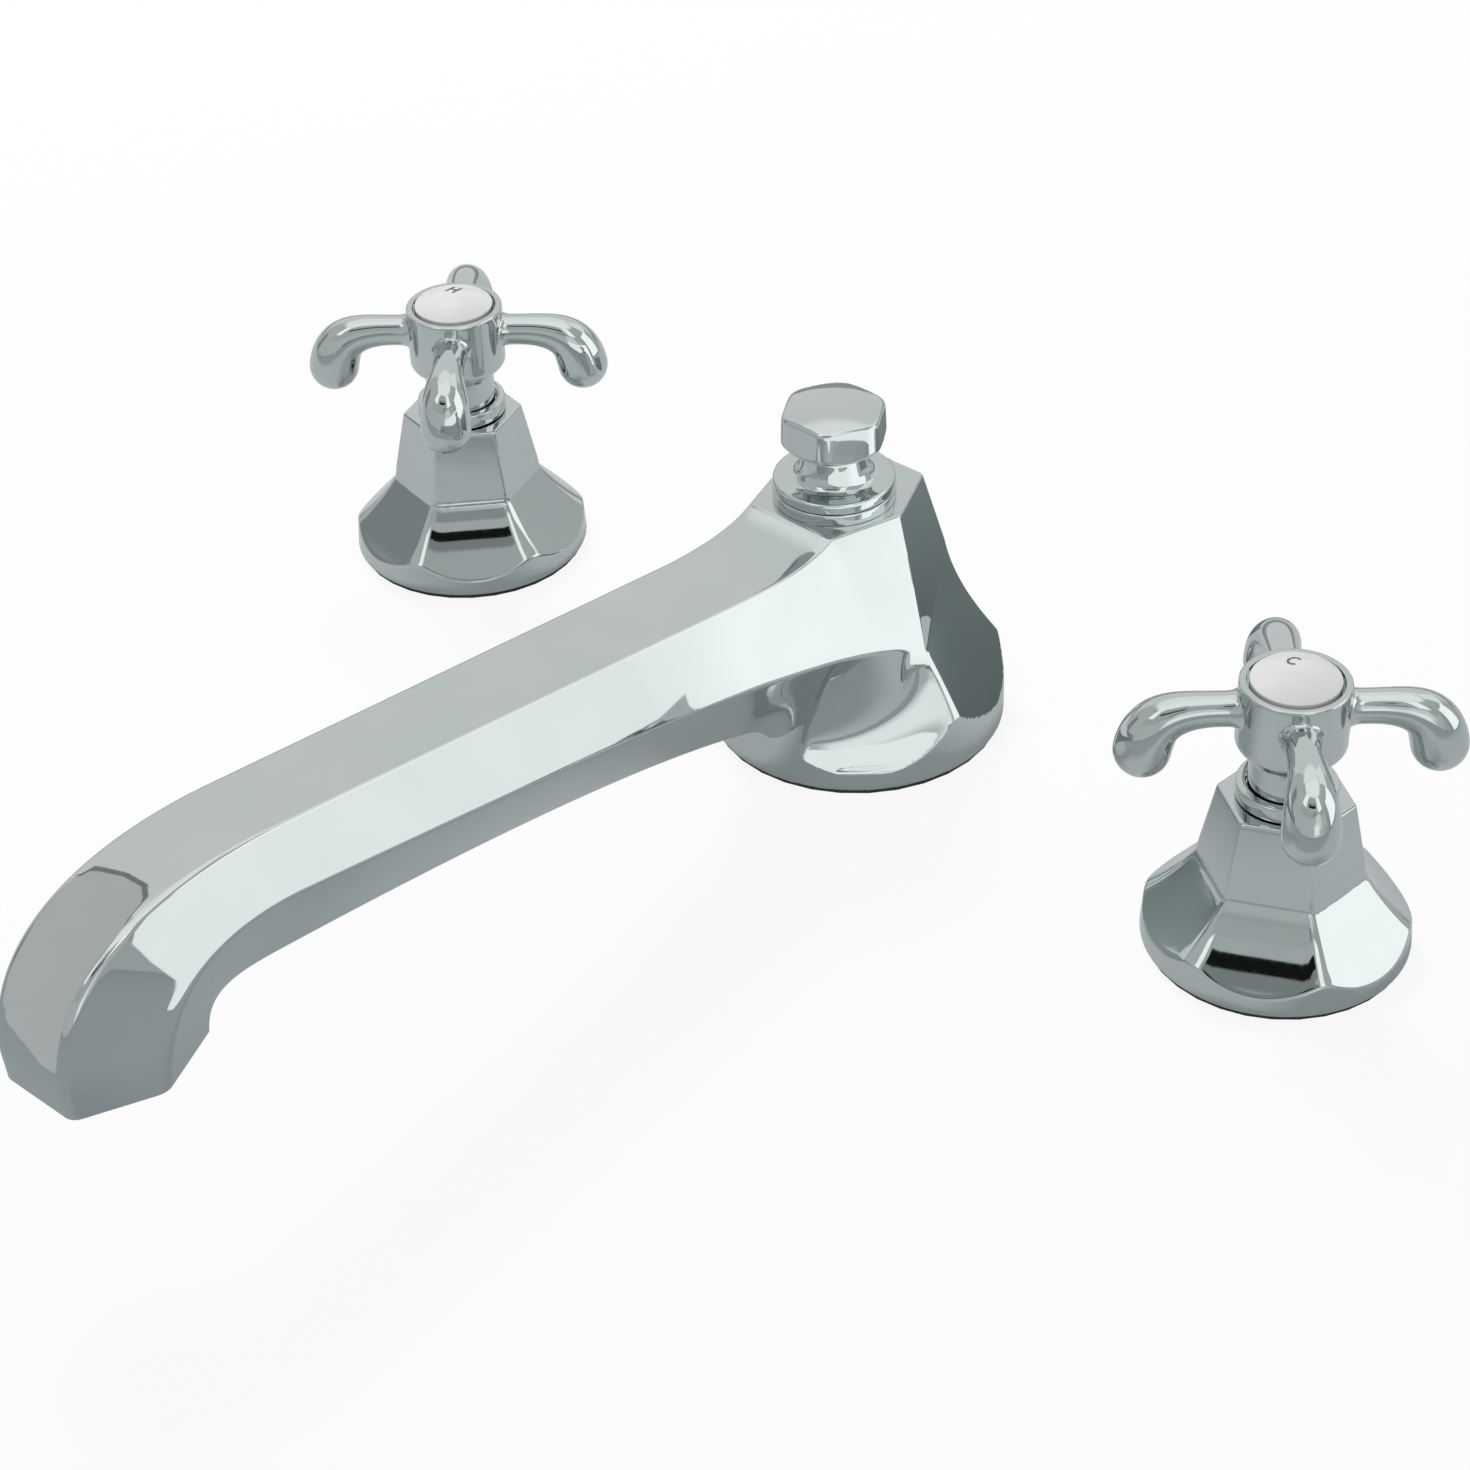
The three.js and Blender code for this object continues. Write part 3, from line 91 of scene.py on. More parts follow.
def rounded(outline, reach, closed=False, count=6):
    """An outline with every corner softened. reach is one length, or one for each corner."""
    pts = np.asarray(outline, float)
    n = len(pts)
    reach = np.broadcast_to(np.asarray(reach, float), (n,))
    out = []
    for i, corner in enumerate(pts):
        if not closed and i in (0, n - 1):
            out.append(corner[None])
            continue
        before = pts[i - 1]
        after = pts[(i + 1) % n]
        r = min(reach[i], *(CORNER_SHARE * np.linalg.norm(end - corner) for end in (before, after)))
        out.append(corner[None] if r <= 0 else arc(before, corner, after, r, count))
    return np.concatenate(out)


def filled(outline, spacing, closed=False):
    """The same outline with extra points, so that no edge is longer than spacing."""
    pts = list(np.asarray(outline, float))
    if closed:
        pts.append(pts[0])
    out = []
    for a, b in zip(pts, pts[1:]):
        n = max(1, int(math.ceil(np.linalg.norm(b - a) / spacing)))
        out += [a + (b - a) * k / n for k in range(n)]
    if not closed:
        out.append(pts[-1])
    return np.array(out)


# Meshes

def mesh_piece(name, verts, faces, weld=1e-4):
    """A piece from points in millimetres, still in millimetres."""
    mesh = bpy.data.meshes.new(name)
    mesh.from_pydata([tuple(p) for p in np.asarray(verts, float)], [], faces)
    bm = bmesh.new()
    bm.from_mesh(mesh)
    bmesh.ops.remove_doubles(bm, verts=bm.verts, dist=weld)
    bmesh.ops.dissolve_degenerate(bm, edges=bm.edges, dist=weld)
    bmesh.ops.recalc_face_normals(bm, faces=bm.faces)
    if bm.calc_volume(signed=True) < 0:
        bmesh.ops.reverse_faces(bm, faces=bm.faces)
    bm.to_mesh(mesh)
    bm.free()
    piece = bpy.data.objects.new(name, mesh)
    bpy.context.scene.collection.objects.link(piece)
    return piece


def grid(name, net, wrap_rows, wrap_columns, caps=False, weld=1e-4):
    """A piece from a net of points, net[column, row]."""
    columns, rows = net.shape[:2]
    index = np.arange(columns * rows).reshape(columns, rows)
    faces = []
    for c in range(columns if wrap_columns else columns - 1):
        d = (c + 1) % columns
        for r in range(rows if wrap_rows else rows - 1):
            s = (r + 1) % rows
            faces.append((index[c, r], index[d, r], index[d, s], index[c, s]))
    if caps:
        faces.append(tuple(index[0][::-1]))
        faces.append(tuple(index[-1]))
    faces = [tuple(int(i) for i in f) for f in faces]
    return mesh_piece(name, net.reshape(-1, 3), faces, weld)


def lathe(name, outline, sides=160, centre=(0, 0), closed=True):
    """Turn a closed outline of (radius, z) about a vertical axis."""
    pts = np.asarray(outline, float)
    turn = np.linspace(0, 2 * math.pi, sides, endpoint=False)
    net = np.empty((sides, len(pts), 3))
    net[..., 0] = centre[0] + np.cos(turn)[:, None] * pts[:, 0]
    net[..., 1] = centre[1] + np.sin(turn)[:, None] * pts[:, 0]
    net[..., 2] = pts[:, 1]
    return grid(name, net, closed, True)


def rod(name, radius, low, high, centre=(0, 0), sides=96):
    return lathe(name, [(0, low), (radius, low), (radius, high), (0, high)], sides, centre)


def boolean(target, cutter, operation):
    """Join or cut two closed pieces for good, and remove the second."""
    step = target.modifiers.new("shape", "BOOLEAN")
    step.operation = operation
    step.object = cutter
    step.solver = "MANIFOLD"
    graph = bpy.context.evaluated_depsgraph_get()
    mesh = bpy.data.meshes.new_from_object(target.evaluated_get(graph))
    target.modifiers.clear()
    target.data = mesh
    bpy.data.objects.remove(cutter)
    return target


MARK_SPACING = 0.3
SHORTEST_EDGE = 0.08  # a shorter edge pulls no harder than this one
RELAX_SHARE = 0.5


def soften(piece, reach, rounds, angle, within):
    """Round off what a cut left sharp: points near a sharp edge relax towards their neighbours."""
    mesh = piece.data
    bm = bmesh.new()
    bm.from_mesh(mesh)
    bmesh.ops.remove_doubles(bm, verts=bm.verts, dist=0.03)
    bmesh.ops.dissolve_degenerate(bm, edges=bm.edges, dist=0.02)
    bmesh.ops.triangulate(bm, faces=[f for f in bm.faces if len(f.verts) > 4])
    bm.verts.index_update()
    limit = math.radians(angle)
    sharp = [e for e in bm.edges if len(e.link_faces) == 2 and e.calc_face_angle(0) > limit]
    marks = []
    for e in sharp:
        a, b = (v.co for v in e.verts)
        if within((a + b) / 2):
            n = max(1, int((b - a).length / MARK_SPACING))
            marks += [a + (b - a) * k / n for k in range(n + 1)]
    tree = KDTree(len(marks))
    for i, p in enumerate(marks):
        tree.insert(p, i)
    tree.balance()
    near = []
    for v in bm.verts:
        distance = tree.find(v.co)[2]
        if distance < reach:
            near.append((v, 1 - (distance / reach) ** 2))
    for _ in range(rounds):
        relaxed = []
        for v, weight in near:
            mean = Vector()
            total = 0
            for e in v.link_edges:
                pull = 1 / max(e.calc_length(), SHORTEST_EDGE)
                mean += e.other_vert(v).co * pull
                total += pull
            mean /= total
            relaxed.append(v.co + (mean - v.co) * RELAX_SHARE * weight)
        for (v, weight), p in zip(near, relaxed):
            v.co = p
    bm.to_mesh(mesh)
    bm.free()


def done(piece, body, slot, material, *nodes, crease=38):
    """Turn a finished shape into metres, give it its finish and let it ride on its body."""
    piece.data.transform(Matrix.Scale(MM, 4))
    piece.data.shade_smooth()
    piece.data.set_sharp_from_angle(angle=math.radians(crease))
    piece.data.materials.clear()
    piece.data.materials.append(material)
    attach(piece, body)
    if nodes:
        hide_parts(*nodes)


def place(piece, prefix, turn=0):
    """Turn a piece about its own axis and set it at its valve."""
    way = Matrix.Translation((SIDE[prefix] * VALVE_X, VALVE_Y, 0))
    piece.data.transform(way @ Matrix.Rotation(math.radians(turn), 4, "Z"))


# Materials

def shader(name):
    material = bpy.data.materials.new(name)
    material.use_nodes = True
    tree = material.node_tree
    return material, tree, tree.nodes["Principled BSDF"]


def node(tree, kind, **values):
    """A new node with its inputs set. An underscore in a key stands for a space."""
    made = tree.nodes.new(kind)
    for key, value in values.items():
        made.inputs[key.replace("_", " ")].default_value = value
    return made


def join(tree, output, target, name):
    tree.links.new(output, target.inputs[name])


def ramp(tree, source, low, high, low_at=0.0, high_at=1.0):
    """Colours or greys from a factor."""
    made = node(tree, "ShaderNodeValToRGB")
    for end, value, at in ((0, low, low_at), (1, high, high_at)):
        made.color_ramp.elements[end].position = at
        colour = value if hasattr(value, "__len__") else (value,) * 3
        made.color_ramp.elements[end].color = (*colour, 1)
    join(tree, source, made, 0)
    return made.outputs[0]


def noise(tree, scale, detail, stretch=None):
    at = node(tree, "ShaderNodeTexCoord").outputs["Object"]
    if stretch:
        mapping = node(tree, "ShaderNodeMapping", Scale=stretch)
        join(tree, at, mapping, "Vector")
        at = mapping.outputs[0]
    made = node(tree, "ShaderNodeTexNoise", Scale=scale, Detail=detail)
    join(tree, at, made, "Vector")
    return made.outputs["Fac"]


def bump(tree, bsdf, height, strength, distance):
    made = node(tree, "ShaderNodeBump", Strength=strength, Distance=distance)
    join(tree, height, made, "Height")
    join(tree, made.outputs[0], bsdf, "Normal")


def chrome():
    material, tree, bsdf = shader("polished_chrome")
    bsdf.inputs["Metallic"].default_value = 1
    haze = noise(tree, 900, 4)
    join(tree, ramp(tree, haze, 0.022, 0.05, 0.35, 0.7), bsdf, "Roughness")
    tint = noise(tree, 60, 2)
    tint = ramp(tree, tint, (0.582, 0.630, 0.626), (0.606, 0.650, 0.644), 0.3, 0.7)
    join(tree, tint, bsdf, "Base Color")
    bump(tree, bsdf, noise(tree, 140, 2), 0.03, 0.0002)
    return material


def metal(name, colour, dark, rough, scale, stretch):
    """A duller metal with fine drawn lines."""
    material, tree, bsdf = shader(name)
    bsdf.inputs["Metallic"].default_value = 1
    lines = noise(tree, scale, 6, stretch)
    join(tree, ramp(tree, lines, dark, colour, 0.3, 0.65), bsdf, "Base Color")
    haze = ramp(tree, noise(tree, 400, 4), rough - 0.07, rough + 0.1, 0.3, 0.7)
    join(tree, haze, bsdf, "Roughness")
    bump(tree, bsdf, lines, 0.15, 0.0002)
    return material


def coated(name, colour, dark, rough, scale, strength, coat=0.0, coat_rough=0.03):
    """A plain material that isn't metal, with a fine grain. coat is the weight of a clear glaze over it."""
    material, tree, bsdf = shader(name)
    grain = noise(tree, scale, 5)
    join(tree, ramp(tree, grain, dark, colour, 0.3, 0.7), bsdf, "Base Color")
    haze = ramp(tree, noise(tree, scale * 2, 3), rough * 0.8, rough * 1.2, 0.3, 0.7)
    join(tree, haze, bsdf, "Roughness")
    bsdf.inputs["Coat Weight"].default_value = coat
    bsdf.inputs["Coat Roughness"].default_value = coat_rough
    bump(tree, bsdf, grain, strength, 0.0003)
    return material


CHROME = chrome()
BRASS = metal("cast_brass", (0.56, 0.40, 0.17), (0.40, 0.27, 0.10), 0.32, 90, (1, 1, 14))
STEEL = metal("brushed_steel", (0.50, 0.51, 0.52), (0.34, 0.35, 0.36), 0.30, 120, (1, 1, 10))
RUBBER = coated("black_rubber", (0.050, 0.051, 0.053), (0.030, 0.031, 0.032), 0.62, 700, 0.25)
PORCELAIN = coated("glazed_porcelain", (0.79, 0.785, 0.765), (0.775, 0.77, 0.75), 0.30, 120, 0.002,
                   0.7, 0.2)
CERAMIC = coated("sintered_ceramic", (0.74, 0.70, 0.62), (0.64, 0.60, 0.52), 0.30, 900, 0.10)
PLASTIC = coated("moulded_plastic", (0.66, 0.66, 0.64), (0.60, 0.60, 0.58), 0.38, 500, 0.10)
INK = coated("black_glaze", (0.016, 0.016, 0.018), (0.010, 0.010, 0.011), 0.22, 500, 0.02, 1.0)
SLOTS = {"chrome": CHROME, "brass": BRASS, "steel": STEEL, "rubber": RUBBER,
         "porcelain": PORCELAIN, "ceramic": CERAMIC, "plastic": PLASTIC}


# Valve bell: six flat facets that flare out to a round rim

BELL_TOP = 37.8
BELL_RIM = 29
BELL_DRAFT = 2.4  # by which the round trim's radius shrinks up to the bell's top
BELL_HEAD = (14.7, BELL_TOP)  # radius and height along a corner line
BELL_CREASE = (18.4, 19.8)
BELL_BEND = (23.2, 12.4)
BELL_FOOT = (36.6, 2.6)
BELL_EDGE = (0.6, 3.1)  # softness of the edges between the facets, at the top and at the foot
BELL_SOFTENS = (23, 10)  # heights between which that softness changes
BELL_TOP_EDGE = 0.7
BELL_TRIM_EDGE = 0.62
BELL_FOOT_EDGE = 0.35
BELL_WALL = 2.2
BELL_ROOF = BELL_TOP - 3
BELL_HOLE = 8.0
BELL_HOLLOW = [(BELL_RIM - BELL_WALL, BOTTOM), (BELL_RIM - BELL_WALL, 5.6), (24, 8.4), (20, 11.6),
               (16.6, 15.4), (13.74, 19.8), (10.53, BELL_ROOF), (BELL_HOLE, BELL_ROOF),
               (BELL_HOLE, BELL_TOP)]


def facet_columns(lines, reach, per_facet, corner_steps=7):
    """Columns round a closed set of corner lines, with the corners between facets softened."""
    count = len(lines)
    columns = []
    for i in range(count):
        before, here, after = lines[i - 1], lines[i], lines[(i + 1) % count]
        columns += list(arc(before, here, after, reach, corner_steps))
        a = here + unit(after - here) * reach
        b = after + unit(here - after) * reach
        for k in range(1, per_facet):
            columns.append(a + (b - a) * k / per_facet)
    return columns


def bell(prefix):
    """Six corner lines, the facets between them, and a round trim at the foot."""
    profile = np.concatenate([
        by_length(np.array([BELL_HEAD, BELL_CREASE]), np.linspace(0, 1, 60))[:-1],
        bez([BELL_CREASE, BELL_BEND, BELL_FOOT], np.linspace(0, 1, 90)),
    ])
    lines = []
    for k in range(6):
        turn = (k + 0.5) * math.pi / 3
        lines.append(np.c_[profile[:, 0] * math.cos(turn), profile[:, 0] * math.sin(turn), profile[:, 1]])
    columns = []
    high, low = BELL_SOFTENS
    fall = np.clip((high - profile[:, 1]) / (high - low), 0, 1)[:, None]
    for column in facet_columns(lines, BELL_EDGE[0] + (BELL_EDGE[1] - BELL_EDGE[0]) * fall, 14, 11):
        radius = np.hypot(column[:, 0], column[:, 1])
        cone = BELL_RIM - BELL_DRAFT * (column[:, 2] - BOTTOM) / (BELL_TOP - BOTTOM)
        last = int(np.argmax(radius > cone))
        gap = (radius - cone)[last - 1:last + 1]
        share = -gap[0] / (gap[1] - gap[0])
        cut = column[last - 1] + (column[last] - column[last - 1]) * share
        way = unit(cut[:2])
        foot = np.r_[way * BELL_RIM, BOTTOM]
        down = foot + (cut - foot) * 0.5
        head = column[0]
        side = np.concatenate([head[None], by_length(column[:last], np.linspace(0.02, 1, 44))])
        side = side[np.linalg.norm(side - cut, axis=1) > 0.75]
        top = arc(np.r_[way * BELL_HOLE, BELL_TOP], head, column[8], BELL_TOP_EDGE)
        side = side[np.linalg.norm(side - head, axis=1) > 0.9]
        trim = cut + unit(side[-1] - cut) * BELL_TRIM_EDGE
        side = by_length(np.concatenate([top[-1:], side, trim[None]]), np.linspace(0, 1, 46))
        edge = arc(side[-2], cut, down, BELL_TRIM_EDGE)
        end = arc(cut, foot, np.r_[way * (BELL_RIM - 1), BOTTOM], BELL_FOOT_EDGE, 4)
        inside = rounded(BELL_HOLLOW, 0.5)
        inside = np.c_[inside[:, :1] * way, inside[:, 1]]
        plate = math.hypot(*top[0][:2]) - BELL_HOLE
        lid = [np.r_[way * (BELL_HOLE + plate * k / 4), BELL_TOP] for k in (1, 2, 3)]
        columns.append(np.concatenate([top, side[1:-1], edge, end, inside, lid]))
    piece = grid(prefix + "_bell_cover", np.array(columns), True, True)
    place(piece, prefix, FACET_TURN[prefix])
    done(piece, "root", "chrome", CHROME, prefix + "_bell")


DRESS_HOLE = 7.9
DRESS_STEP = (8.8, 1.5)  # radius and height of the step inside the ring
DRESS_RADIUS = 10.8
DRESS_HEIGHT = 3.4


def dress_ring(prefix):
    low = BELL_TOP + 0.3
    high = low + DRESS_HEIGHT
    inner, step = DRESS_STEP
    outline = rounded([(DRESS_HOLE, low), (DRESS_RADIUS, low), (DRESS_RADIUS, high), (inner, high),
                       (inner, low + step), (DRESS_HOLE, low + step)],
                      [0.15, 0.3, 0.6, 0.3, 0.15, 0.15], True)
    piece = lathe(prefix + "_retaining_ring", filled(outline, 0.7, True))
    place(piece, prefix)
    done(piece, "root", "chrome", CHROME, prefix + "_dress_ring")


# Cross handle: a hub with four drooping teardrop levers

HUB_FOOT = 40.7
HUB_NECK = 8.4
HUB_SHOULDERS = (48.8, 51.8)
HUB_RADIUS = 11.7
HUB_TOP = 67.0
HUB_BORE = 4.6
SCREW_HOLE = (2.3, 57.6)
SEAT_RADIUS = 10.1
SEAT_Z = 62.6
LEVER_Z = 60.2
LEVER_ROOT = 10.8  # radius where the lever's flared root starts
LEVER_FLARE = 15.4  # and where it ends
LEVER_INSET = 1.2
ROOT_SWELL = (2.1, 2.6)  # how much thicker the root is, and how fast that fades
LEVER_RADIUS = 3.75
LEVER_REACH = 30.7
LEVER_DROP = 9.6
BULB_RADIUS = 6.1


def lever():
    """The lever as a net of round sections along a spine that runs out level and then turns down."""
    spine_points = [(15.2, LEVER_Z), (10.7 + 0.66 * (LEVER_REACH - 10.7), LEVER_Z),
                    (LEVER_REACH - BULB_RADIUS / 4, LEVER_Z - LEVER_DROP / 8),
                    (LEVER_REACH, LEVER_Z - LEVER_DROP)]
    sections = []
    swell, fade = ROOT_SWELL
    for share in np.linspace(0, 1, 14)[:-1]:
        r = LEVER_ROOT + (LEVER_FLARE - LEVER_ROOT) * share
        sections.append(((r - LEVER_INSET, LEVER_Z), (1, 0), LEVER_RADIUS + swell * (1 - share) ** fade))
    start = sections[-1][0][0]
    t = np.linspace(0, 1, 46)
    spine = bez(spine_points, t)
    way = unit(np.gradient(spine, axis=0))
    for p, d, s in zip(spine, way, t):
        if p[0] < start + 0.3:
            continue
        swell = s * s * (3 - 2 * s)
        sections.append((tuple(p), tuple(d), LEVER_RADIUS + (BULB_RADIUS - LEVER_RADIUS) * swell))
    down = way[-1]
    for angle in np.radians(np.linspace(0, 90, 17)[1:]):
        centre = spine[-1] + down * BULB_RADIUS * math.sin(angle)
        sections.append((tuple(centre), tuple(down), BULB_RADIUS * max(math.cos(angle), 1e-4)))
    turn = np.linspace(0, 2 * math.pi, 56, endpoint=False)
    net = []
    for (x, z), (dx, dz), radius in sections:
        up = radius * np.cos(turn)
        net.append(np.c_[x - up * dz, radius * np.sin(turn), z + up * dx])
    return np.array(net)


def handle(prefix):
    neck_z, shoulder_z = HUB_SHOULDERS
    hole, hole_z = SCREW_HOLE
    outline = rounded([(HUB_BORE, HUB_FOOT), (HUB_NECK, HUB_FOOT), (HUB_NECK, neck_z),
                       (HUB_RADIUS, shoulder_z), (HUB_RADIUS, HUB_TOP), (SEAT_RADIUS, HUB_TOP),
                       (SEAT_RADIUS, SEAT_Z), (hole, SEAT_Z), (hole, hole_z), (HUB_BORE, hole_z)],
                      [0.2, 0.2, 1.2, 0.9, 0.75, 0.25, 0.2, 0.1, 0.1, 0.2], True)
    hub = lathe(prefix + "_cross_handle", filled(outline, 0.55, True), 176)
    arm = lever()
    for k in range(4):
        a = math.radians(90 * k)
        net = arm.copy()
        net[..., 0] = arm[..., 0] * math.cos(a) - arm[..., 1] * math.sin(a)
        net[..., 1] = arm[..., 0] * math.sin(a) + arm[..., 1] * math.cos(a)
        boolean(hub, grid("lever", net, True, False, True), "UNION")
    boolean(hub, rod("well", SEAT_RADIUS, SEAT_Z, 66, sides=176), "DIFFERENCE")
    soften(hub, 1.1, 7, 24, lambda p: 11.2 < math.hypot(p.x, p.y) < 16 and p.z > 52)
    place(hub, prefix, HANDLE_TURN[prefix])
    done(hub, prefix + "_turn", "chrome", CHROME, prefix + "_handle")


BUTTON_RADIUS = 9.5
BUTTON_FOOT = 62.9
BUTTON_EDGE = 67.4
BUTTON_DOME = 2.0
BUTTON_POCKET = (7.6, 65.3)  # radius and top of the hollow over the screw


def dome_z(radius):
    """Height of the button's top at a radius."""
    share = 1 - np.asarray(radius) / BUTTON_RADIUS
    return BUTTON_EDGE + BUTTON_DOME * share * (2 - share)


def button(prefix):
    share = np.linspace(0, 1, 26)[1:]
    crown = [(BUTTON_RADIUS * (1 - s), BUTTON_EDGE + BUTTON_DOME * s * (2 - s)) for s in share]
    inner, roof = BUTTON_POCKET
    side = rounded([(0, roof), (inner, roof), (inner, BUTTON_FOOT), (BUTTON_RADIUS, BUTTON_FOOT),
                    (BUTTON_RADIUS, BUTTON_EDGE), crown[0]],
                   [0, 0.3, 0.2, 0.2, 0.5, 0])
    piece = lathe(prefix + "_index_button", np.concatenate([side, crown[1:]]), 128, closed=False)
    place(piece, prefix)
    done(piece, prefix + "_turn", "porcelain", PORCELAIN, prefix + "_button")


LETTER_WAY = 133  # direction from the button's middle to the letter
LETTER_UP = 4.0  # and how far away the letter is
LETTER_TURN = 7
LETTER_HALF = (1.35, 1.8)
STROKE = 0.55
GLAZE_SUNK = 0.08  # how far the glaze reaches into the button
GLAZE_PROUD = 0.07  # and stands out of it


def letter(prefix):
    """A plain H or C glazed on the button."""
    w, h = LETTER_HALF
    if prefix == "hot":
        bar = STROKE / 2
        corner = [(w, h), (w - STROKE, h), (w - STROKE, bar)]
        outline = corner + [(-x, y) for x, y in corner[::-1]]
        outline += [(-x, -y) for x, y in outline]
    else:
        turn = np.radians(np.linspace(48, 312, 40))
        outline = [(w * 1.1 * math.cos(a), h * math.sin(a)) for a in turn]
        outline += [((w * 1.1 - STROKE) * math.cos(a), (h - STROKE) * math.sin(a)) for a in turn[::-1]]
    turn = math.radians(LETTER_TURN)
    way = math.radians(LETTER_WAY)
    edge = filled(np.array(outline), 0.25, True) @ np.array([[math.cos(turn), math.sin(turn)],
                                                             [-math.sin(turn), math.cos(turn)]])
    edge += LETTER_UP * np.array([math.cos(way), math.sin(way)])
    z = dome_z(np.hypot(edge[:, 0], edge[:, 1]))
    n = len(edge)
    verts = [(*p, q - GLAZE_SUNK) for p, q in zip(edge, z)]
    verts += [(*p, q + GLAZE_PROUD) for p, q in zip(edge, z)]
    faces = [tuple(range(n))[::-1], tuple(range(n, 2 * n))]
    faces += [(i, (i + 1) % n, n + (i + 1) % n, n + i) for i in range(n)]
    piece = mesh_piece(prefix + "_letter", verts, faces, 1e-3)
    place(piece, prefix)
    done(piece, prefix + "_turn", "porcelain", INK)


# Spout: a leaning six-sided bell that runs out into a six-sided arm

SPOUT_RIM = 34.6
SPOUT_TOP = 63
BACK_EASE = 0.0236  # the rim comes in a little at the back
AXIS = 5  # the bell's own axis stands this far ahead of the foot's
# Corner lines of the bell: radius at the top, and radius and height of the crease, bend and foot
SIDE_LINE = dict(top=17.3, crease=(25.1, 29.7), bend=(30.3, 22.6), foot=(38, 10))
REAR_LINE = dict(top=19.6, crease=(25.2, 44), bend=(28.2, 30), foot=(42, 12))
OUTLET_Z = 41.2
FRONT = 237.7
REAR = 203.6
MIDDLE = (FRONT + REAR) / 2
CROWN_JOIN = (11.4, 50, 61.3)  # half width, forward and height where the bell's root meets the arm
FLANK_JOIN = (17.5, 51.8, 42.3)
KEEL_JOIN = (10, 51.8, 25.2)
CROWN_END = (10, 180, 77.8)  # and where the arm meets the nose
FLANK_END = (17.5, 183.7, 67)
KEEL_END = (10, 185, 48.9)
COVE = 7 / 12  # share of the root whose columns still run down to the rim
EDGE = 0.8  # softness of the arm's long edges
NOSE_EDGE = 1.3  # and how much softer they get along the nose
NOSE_COLUMNS = 50
ARM_STEPS = 28
NOSE_STEPS = 54
BEYOND = 1.25  # how far the bell's flare runs on before the round foot trims it
CROWN_EASE = 12  # columns over which the crown line is eased, each way
EASE_ENDS = 60  # columns before the outlet where that has faded out
EASE_FADE = 30
RIB_SOFT = (0.45, 1.7)  # softness of the bell's edges at the top, and its growth downwards
LOW = 150  # samples of each column below the flank line
V = np.linspace(0, 1, LOW)


def lower_line(curve, beyond):
    """Samples of a column below its upper crease: a curve run on past its end, then a straight drop."""
    on = V <= 5 / 6
    out = np.empty((LOW, 3))
    out[on] = bez(curve, V[on] * 6 / 5 * beyond)
    out[on, 2] = np.maximum(out[on, 2], BOTTOM + 0.5)
    share = (V[~on] - 5 / 6) * 6
    foot = out[on][-1]
    out[~on] = foot + (np.array([foot[0], foot[1], BOTTOM]) - foot) * share[:, None]
    return out


def corner_line(line, across, along):
    """A corner line of the bell as its top point, crease point and samples below the crease."""
    def at(r, z):
        return np.array([r * across, AXIS - r * along, z])

    low = lower_line([at(*line["crease"]), at(*line["bend"]), at(*line["foot"])], BEYOND)
    return at(line["top"], SPOUT_TOP), at(*line["crease"]), low


